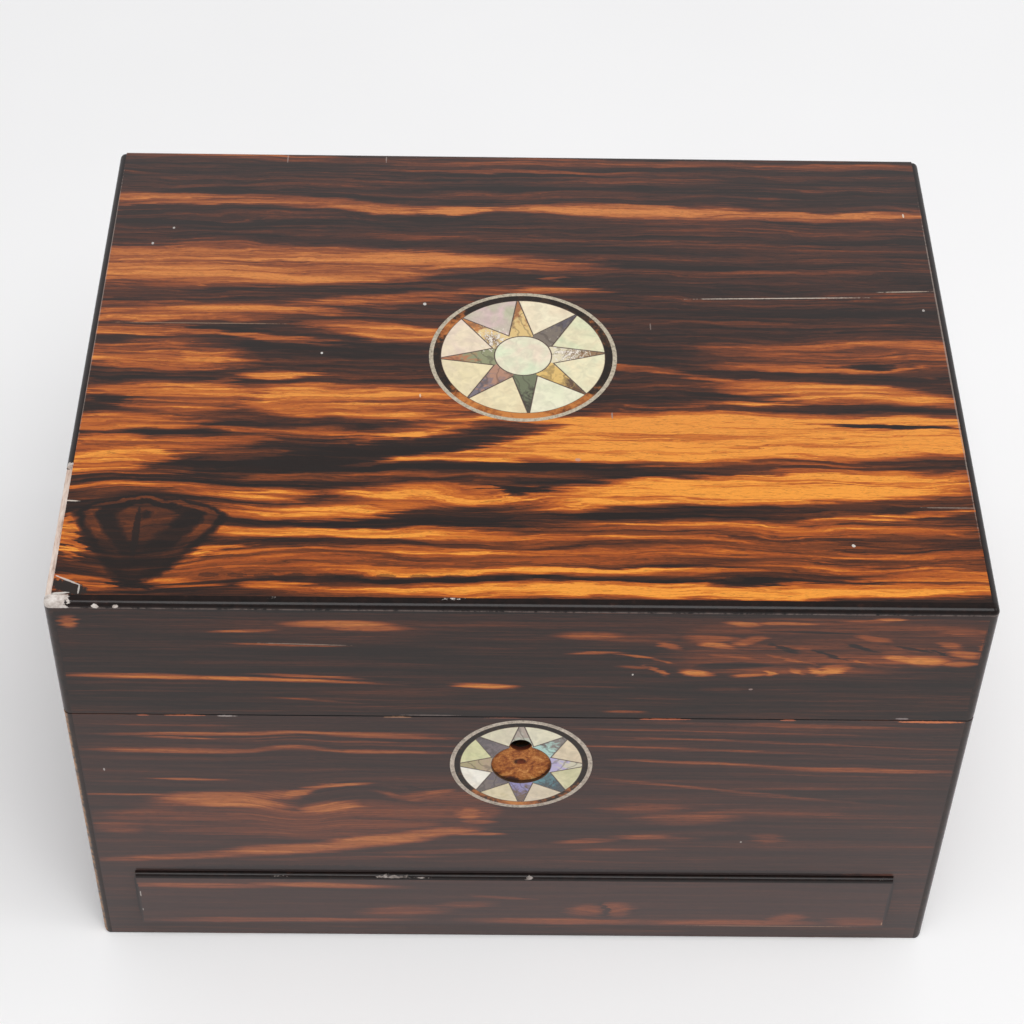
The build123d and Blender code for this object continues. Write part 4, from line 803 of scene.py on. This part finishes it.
def level_off(tree, surface, star, points, shell, patches, glue):
    """Breaks the shell into crumbs of filler at the patches (x, y, reach, strength), and glues its joints."""
    flat, away, _, reach, side = points
    lines = glue_lines(tree, away, reach, side, *star)
    if patches:
        crumbs = add(tree, "TexNoise", {"Vector": flat, "Scale": 0.75, "Detail": 3, "Roughness": 0.8})
        crumb = add(tree, "ValToRGB", {0: crumbs}, [(0.4, "4A3428"), (0.5, "8A6A4E"), (0.56, "E6DED0")])
    for x, y, size, strength in patches:
        near = ball(tree, flat, (x, y, 0), (size, size, size))
        share = add(tree, "Math", {0: near, 1: strength, 2: crumbs}, operation="MULTIPLY_ADD")
        broken = add(tree, "MapRange", {"Value": share, "From Min": 0.68, "From Max": 0.74})
        shell = add(tree, "Mix", {"Factor": broken, 6: shell, 7: crumb}, data_type="RGBA")
    glued = add(tree, "Mix", {"Factor": lines, 6: shell, 7: glue}, data_type="RGBA")
    relief = add(tree, "Bump", {"Height": lines, "Strength": 0.5, "Distance": 0.0002}, invert=True)
    plug(tree, surface, {"Base Color": glued, "Normal": relief})


def pearl(name, place, star, colours, seconds, patches=()):
    """Mother-of-pearl: cream, clouded with pink and green, each segment from another part of the shell."""
    material, tree, surface = finish(name, {
        "Roughness": 0.22, "IOR": 1.55, "Coat Weight": 0.5, "Coat Roughness": 0.08,
    })
    points = star_place(tree, *place)
    flat, away, whole = points[:3]
    cloud = add(tree, "TexNoise", {"Vector": flat, "Scale": 0.09, "Detail": 2, "Distortion": 0.8})
    cloudy = add(tree, "MapRange", {"Value": cloud, "From Min": 0.35, "From Max": 0.68})
    shell = add(tree, "Mix", {
        "Factor": cloudy, 6: by_turn(tree, whole, 0, colours), 7: by_turn(tree, whole, 0, seconds),
    }, data_type="RGBA")
    middle = add(tree, "Mix", {"Factor": cloudy, 6: "EBDAC2", 7: "DDE6C4"}, data_type="RGBA")
    in_middle = add(tree, "Math", {0: away, 1: star[3]}, operation="LESS_THAN")
    shell = add(tree, "Mix", {"Factor": in_middle, 6: shell, 7: middle}, data_type="RGBA")
    lustre = add(tree, "TexNoise", {"Vector": flat, "Scale": 0.3, "Detail": 3, "Distortion": 1})
    sheen = add(tree, "MapRange", {
        "Value": lustre, "From Min": 0.35, "From Max": 0.65, "To Min": 0.84, "To Max": 1,
    })
    layered = add(tree, "VectorMath", {0: shell, "Scale": sheen}, operation="SCALE")
    level_off(tree, surface, star, points, layered, patches, "5A4030")
    return material


def abalone(name, place, star, colours, seconds, patches=()):
    """Abalone: folded layers of green, blue, pink and gold, one tone at a slip's foot and one at its tip."""
    material, tree, surface = finish(name, {
        "Roughness": 0.25, "IOR": 1.55, "Coat Weight": 0.6, "Coat Roughness": 0.08,
    })
    points = star_place(tree, *place)
    flat, away, whole = points[:3]
    fold = add(tree, "TexNoise", {"Vector": flat, "Scale": 0.26, "Detail": 4, "Distortion": 1.8})
    out = add(tree, "Math", {0: away, 1: 1 / star[0], 2: fold}, operation="MULTIPLY_ADD")
    layer = add(tree, "MapRange", {"Value": out, "From Min": 1.08, "From Max": 1.3})
    shell = add(tree, "Mix", {
        "Factor": layer, 6: by_turn(tree, whole, 1 / 16, colours), 7: by_turn(tree, whole, 1 / 16, seconds),
    }, data_type="RGBA")
    bands = add(tree, "TexWave", {
        "Vector": flat, "Scale": 0.05, "Distortion": 26, "Detail": 4, "Detail Scale": 0.9,
    })
    veins = add(tree, "MapRange", {
        "Value": bands, "From Min": 0, "From Max": 0.2, "To Min": 0.45, "To Max": 0,
    })
    veined = add(tree, "Mix", {"Factor": veins, 6: shell, 7: "33241C"}, data_type="RGBA")
    level_off(tree, surface, star, points, veined, patches, "3A2A1E")
    return material


LID_STAR = ((0.6, 2.65, 186.4), "Y", 3.5)
LID_STAR_LINES = (28.9, 11.3, 0.6, 10, 0.32)
lid_pearl = pearl("mother-of-pearl of the lid's star", LID_STAR, LID_STAR_LINES,
                  ["E9DDB8", "F0E6C6", "D3B9B4", "E3CBBE", "EADBB0", "EBDDB4", "E2E2C2", "E0DFBC"],
                  ["D3DCB6", "E8D3B4", "B9BC9A", "EBDABB", "E0D0AE", "E2CFA8", "EFE7CC", "EDE0BA"],
                  patches=[(-10, 9, 9, 0.22)])
lid_abalone = abalone("abalone of the lid's star", LID_STAR, LID_STAR_LINES,
                      ["DCD0B0", "74685C", "D8B878", "E0C48A", "8A8C68", "AC8068", "6A7054", "D9B468"],
                      ["8A6A48", "544C54", "9A6030", "B87438", "B0704A", "706870", "3E3A2C", "6A4A2C"],
                      patches=[(-11, 8, 9, 0.34), (17, 1.5, 11, 0.3)])
dress(lid_pearl, "lid_star_pearl")
dress(lid_abalone, "lid_star_abalone")

FRONT_STAR = ((STAR_X, -114.5, STAR_Z), "Z", 0.5)
FRONT_STAR_LINES = (21, 10.9, 1.8, RECESS_RADIUS, 0.3)
front_pearl = pearl("mother-of-pearl of the small star", FRONT_STAR, FRONT_STAR_LINES,
                    ["EAD7B4", "EBE3C4", "E2DABA", "E8DDAE", "FBF5E6", "E6D6B2", "DDCCAE", "E0D7AA"],
                    ["D8C4A4", "DCD6BC", "D8CBB2", "D4D49E", "DCC8A8", "D4C496", "E4D2B8", "CEC89A"])
front_abalone = abalone("abalone of the small star", FRONT_STAR, FRONT_STAR_LINES,
                        ["B4A8CC", "A8CCC0", "B8BCA8", "6E5E60", "B09878", "5E5056", "8C84B4", "4E8088"],
                        ["D0C8AC", "7A7068", "A8988A", "544A4C", "A89A6C", "6E6058", "6A4E3C", "2E3A40"])
dress(front_pearl, "front_star_pearl")
dress(front_abalone, "front_star_abalone")

# Star rings
# Pewter stringing is a soft grey lead and tin alloy, pitted and never bright. The ring inside it is
# ebonised wood, rubbed back to orange-brown in places.


def pewter(name, tones):
    """Dull grey metal with pits, lighter where it is rubbed."""
    material, tree, surface = finish(name, {"Metallic": 1, "Roughness": 0.6})
    pits = add(tree, "TexNoise", {"Vector": millimetres(tree), "Scale": 0.8, "Detail": 5, "Roughness": 0.7})
    grey = add(tree, "ValToRGB", {0: pits}, zip((0.32, 0.5, 0.7), tones))
    pitting = add(tree, "Bump", {"Height": pits, "Strength": 0.35, "Distance": 0.0003})
    plug(tree, surface, {"Base Color": grey, "Normal": pitting})
    return material


dress(pewter("pewter of the lid's star", ("A89C8A", "D6CBB6", "EADFCB")), "lid_star_pewter_ring")
dress(pewter("pewter of the small star", ("968A7E", "C2B6A8", "DACFC1")), "front_star_pewter_ring")


def rubbed_ring(name, patches):
    """The black ring, rubbed back to orange-brown wood at the patches: middle in mm, reach, strength."""
    material, tree, surface = finish(name, {"Roughness": 0.4, "Specular IOR Level": 0.2, "Coat Weight": 0.25})
    place = millimetres(tree)
    share = add(tree, "TexNoise", {"Vector": place, "Scale": 0.4, "Detail": 4, "Roughness": 0.6})
    for middle, reach, strength in patches:
        near = ball(tree, place, middle, (reach, reach, reach))
        share = add(tree, "Math", {0: near, 1: strength, 2: share}, operation="MULTIPLY_ADD")
    colour = add(tree, "ValToRGB", {0: share}, [
        (0.5, "1E1610"), (0.66, "3C281A"), (0.8, "965628"), (1, "C07A3C"),
    ])
    plug(tree, surface, {"Base Color": colour})
    return material


dress(rubbed_ring("rubbed ring of the lid's star", [
    ((-24, 18, 186.4), 12, 0.4), ((26, 16, 186.4), 12, 0.2), ((0, -27, 186.4), 20, 0.7),
    ((-20, -20, 186.4), 12, 0.5), ((20, -20, 186.4), 12, 0.45),
]), "lid_star_ebony_ring")
dress(rubbed_ring("rubbed ring of the small star", [
    ((0, -114.5, 83), 14, 0.55), ((-14, -114.5, 88), 8, 0.3), ((16, -114.5, 90), 8, 0.3),
]), "front_star_ebony_ring")

# Lock, hinges, screws and drawer pin
# The lock plate, link plate, hinges, screws and pin are cast and rolled brass, filed and lacquered, with a
# brown film in the corners. The lock's cap and bolt, the hinge pins and the spring are plain steel.
brass, tree, surface = finish("lacquered brass", {"Metallic": 1, "Roughness": 0.3})
place = millimetres(tree)
film = add(tree, "TexNoise", {"Vector": place, "Scale": 0.12, "Detail": 6, "Roughness": 0.6})
scratches = drawn_out(tree, place, (0.15, 4, 4), 3)
gold = add(tree, "ValToRGB", {0: film}, [(0.3, "7E5A24"), (0.5, "B98F45"), (0.75, "D6B066")])
dull = add(tree, "MapRange", {"Value": scratches, "To Min": 0.2, "To Max": 0.42})
plug(tree, surface, {"Base Color": gold, "Roughness": dull})
dress(brass, "lock_plate", "link_plate", "hinge_base_leaves", "hinge_lid_leaves")
dress(brass, "base_screws", "lid_screws", "drawer_pin", "drawer_pin_collar")

steel, tree, surface = finish("bright steel", {"Metallic": 1, "Roughness": 0.35})
place = millimetres(tree)
brushed = drawn_out(tree, place, (0.2, 3, 3), 4, Roughness=0.6)
bright = add(tree, "ValToRGB", {0: brushed}, [(0.3, "6B665F"), (0.7, "A8A49C")])
filed = add(tree, "MapRange", {"Value": brushed, "To Min": 0.25, "To Max": 0.5})
plug(tree, surface, {"Base Color": bright, "Roughness": filed})
dress(steel, "lock_cap", "lock_bolt", "hinge_pins", "drawer_spring")

# Mirror in the lid
# Silvered plate glass, polished flat and held by the mitred frame. The silvering has gone brown in freckles
# where damp has reached it.
silvered, tree, surface = finish("silvered glass", {"Metallic": 1, "Roughness": 0.03})
place = millimetres(tree)
freckles = add(tree, "TexNoise", {"Vector": place, "Scale": 0.5, "Detail": 6, "Roughness": 0.8})
tarnish = add(tree, "ValToRGB", {0: freckles}, [(0.2, "8E8A84"), (0.33, "DCE0DF"), (1, "E6E9E8")])
foxing = add(tree, "MapRange", {
    "Value": freckles, "From Min": 0.2, "From Max": 0.34, "To Min": 0.3, "To Max": 0.03,
})
plug(tree, surface, {"Base Color": tarnish, "Roughness": foxing})
dress(silvered, "mirror_glass")

# Velvet in the lid, the drawer and the tray
# Crimson silk velvet over wadding and card, glued in: thin pads on the floors, ring rolls across the middle
# and a frame round the mirror. Its pile lies in soft patches, and is drawn about half a millimetre coarse, so
# that it shows. Each pad's edges are turned under.
velvet, tree, surface = finish("crimson silk velvet", {
    "Roughness": 0.9, "Specular IOR Level": 0.1, "Sheen Weight": 0.7, "Sheen Roughness": 0.35,
    "Sheen Tint": "E07A84",
})
place = millimetres(tree)
brushed = add(tree, "TexNoise", {"Vector": place, "Scale": 0.03, "Detail": 2, "Distortion": 0.5})
crimson = add(tree, "ValToRGB", {0: brushed}, [(0.35, "4C0A14"), (0.5, "5C0E19"), (0.66, "6E1420")])
pile = add(tree, "TexNoise", {"Vector": place, "Scale": 2.2, "Detail": 3, "Roughness": 0.7})
nap = add(tree, "Bump", {"Height": pile, "Strength": 0.35, "Distance": 0.0003})
plug(tree, surface, {"Base Color": crimson, "Normal": nap})

VELVET_GAP = 0.3
PAD_THICK = 1.5
PAD_EDGE = 0.6
CUT_SPACING = 4
ROLL_EDGE = 2.6
ROLL_HEIGHT = 7
ROLL_CUTS = 12.5


def cut(shape, axis, place, **more):
    """Cuts new edges into a shape across one axis."""
    normal = Vector([float(axis == i) for i in range(3)])
    bmesh.ops.bisect_plane(shape, geom=shape.verts[:] + shape.edges[:] + shape.faces[:],
                           plane_co=normal * place, plane_no=normal, **more)


def round_off(shape, edges, reach, segments):
    """Rounds edges of a pad."""
    bmesh.ops.bevel(shape, geom=edges, offset=reach, offset_type="OFFSET", segments=segments, profile=0.5,
                    affect="EDGES", material=-1)


def stuff(shape, part):
    """Adds one finished pad to a piece."""
    mesh = bpy.data.meshes.new("pad")
    part.to_mesh(mesh)
    part.free()
    shape.from_mesh(mesh)
    bpy.data.meshes.remove(mesh)


def floor_pad(shape, x_span, y_span, floor):
    """A thin pad with turned edges, its top a little uneven."""
    part = bmesh.new()
    bmesh.ops.create_cube(part, size=1)
    size = Vector((x_span[1] - x_span[0] - 2 * VELVET_GAP, y_span[1] - y_span[0] - 2 * VELVET_GAP, PAD_THICK))
    middle = Vector((sum(x_span) / 2, sum(y_span) / 2, floor + PAD_THICK / 2))
    bmesh.ops.scale(part, vec=size, verts=part.verts)
    bmesh.ops.translate(part, vec=middle, verts=part.verts)
    round_off(part, part.edges, PAD_EDGE, 3)
    for axis in (0, 1):
        for step in range(1, int(size[axis] / CUT_SPACING)):
            cut(part, axis, middle[axis] + step * CUT_SPACING - size[axis] / 2)
    for vert in part.verts:
        if vert.co.z > floor + PAD_THICK * 0.8:
            vert.co.z += 0.2 * noise.noise(vert.co / 11) - 0.1
    stuff(shape, part)


def ring_roll(shape, y, half_length, half_width, floor):
    """A half-round roll along X: velvet over wadding, tucked in at both ends."""
    part = bmesh.new()
    bmesh.ops.create_cone(part, cap_ends=True, segments=32, radius1=half_width, radius2=half_width,
                          depth=2 * half_length, matrix=Matrix.Rotation(math.radians(90), 4, "Y"))
    ends = [edge for edge in part.edges if abs(edge.verts[0].co.x - edge.verts[1].co.x) < 1]
    round_off(part, ends, ROLL_EDGE, 4)
    cut(part, 2, 0, clear_inner=True)
    for step in range(-11, 12):
        cut(part, 0, step * half_length / ROLL_CUTS)
    bmesh.ops.holes_fill(part, edges=[edge for edge in part.edges if edge.is_boundary])
    bmesh.ops.scale(part, vec=(1, 1, (ROLL_HEIGHT - 0.2) / half_width), verts=part.verts)
    bmesh.ops.translate(part, vec=(0, y, floor), verts=part.verts)
    for vert in part.verts:
        lift = min(1, (vert.co.z - floor) / 2)
        vert.co.z -= 0.35 * lift * (0.5 + 0.5 * noise.noise(vert.co / 9))
    bmesh.ops.recalc_face_normals(part, faces=part.faces)
    stuff(shape, part)


PAD_OUTER = (141.8, 103.8)
PAD_BACK = 177.2
PAD_DEEP = 2.5
shape = bmesh.new()
bmesh.ops.create_grid(shape, x_segments=1, y_segments=1, size=1)
bmesh.ops.scale(shape, vec=(PAD_OUTER[0] - VELVET_GAP, PAD_OUTER[1] - VELVET_GAP, 1), verts=shape.verts)
bmesh.ops.translate(shape, vec=(0, 0, PAD_BACK), verts=shape.verts)
bmesh.ops.reverse_faces(shape, faces=shape.faces)
middle = shape.faces[:]
bmesh.ops.inset_region(shape, faces=middle, thickness=0.05, depth=2, use_even_offset=True, use_boundary=True)
PAD_RISE = [(0.35, 0.8), (1, 0.9), (2, 0.8), (3.5, 0.6), (4.5, 0.35), (7.5, 0.35)]
PAD_FALL = [(7, -0.35), (4.5, -0.35), (3.5, -0.6), (2, -0.8), (1, -0.9), (0.35, -0.8), (0.05, -2)]
for width, rise in PAD_RISE + PAD_FALL:
    bmesh.ops.inset_region(shape, faces=middle, thickness=width, depth=rise, use_even_offset=True)
bmesh.ops.delete(shape, geom=middle, context="FACES_ONLY")
for axis, reach in enumerate(PAD_OUTER):
    for step in range(1, int(reach * 2 / CUT_SPACING)):
        cut(shape, axis, step * CUT_SPACING - reach)
for vert in shape.verts:
    past_inner = abs(vert.co.x) - PAD_OUTER[0] - (abs(vert.co.y) - PAD_OUTER[1])
    deep = PAD_BACK - vert.co.z
    if deep > PAD_DEEP:
        tuck = 1.5 * math.exp(-(past_inner / 3.5) ** 2)
        lift = 0.4 * (0.5 + 0.5 * noise.noise(vert.co / 12))
        vert.co.z += (tuck + lift) * min(1, (deep - PAD_DEEP) / 2)
bmesh.ops.solidify(shape, geom=shape.faces, thickness=0.4)
lid_velvet = new_piece("lid_velvet", shape, velvet, "lid", ["lid_pad"])

DRAWER_FLOOR = 13.0
DRAWER_FRONT = -105.7
DRAWER_PITCH = 14.314
shape = bmesh.new()
for x_span in ((-131.7, -53.3), (-49.7, 49.7), (53.3, 131.7)):
    floor_pad(shape, x_span, (DRAWER_FRONT, 94.7), DRAWER_FLOOR)
for step in range(14):
    ring_roll(shape, DRAWER_FRONT + DRAWER_PITCH * (step + 0.5), 49.4, 6.857, DRAWER_FLOOR + PAD_THICK)
drawer_velvet = new_piece("drawer_velvet", shape, velvet, "drawer", ["drawer_lining"])

TRAY_FLOOR = 94.5
TRAY_FRONT = -98.2
TRAY_PITCH = 17.65
shape = bmesh.new()
for x_span in ((-136.2, -63.3), (-59.7, 59.7), (63.3, 136.2)):
    floor_pad(shape, x_span, (14.3, 98.2), TRAY_FLOOR)
for x_span in ((-136.2, -51.3), (-47.7, 47.7), (51.3, 136.2)):
    floor_pad(shape, x_span, (TRAY_FRONT, 7.7), TRAY_FLOOR)
for step in range(6):
    ring_roll(shape, TRAY_FRONT + TRAY_PITCH * (step + 0.5), 47.4, 8.525, TRAY_FLOOR + PAD_THICK)
tray_velvet = new_piece("tray_velvet", shape, velvet, "tray", ["tray_lining"])

low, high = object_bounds()
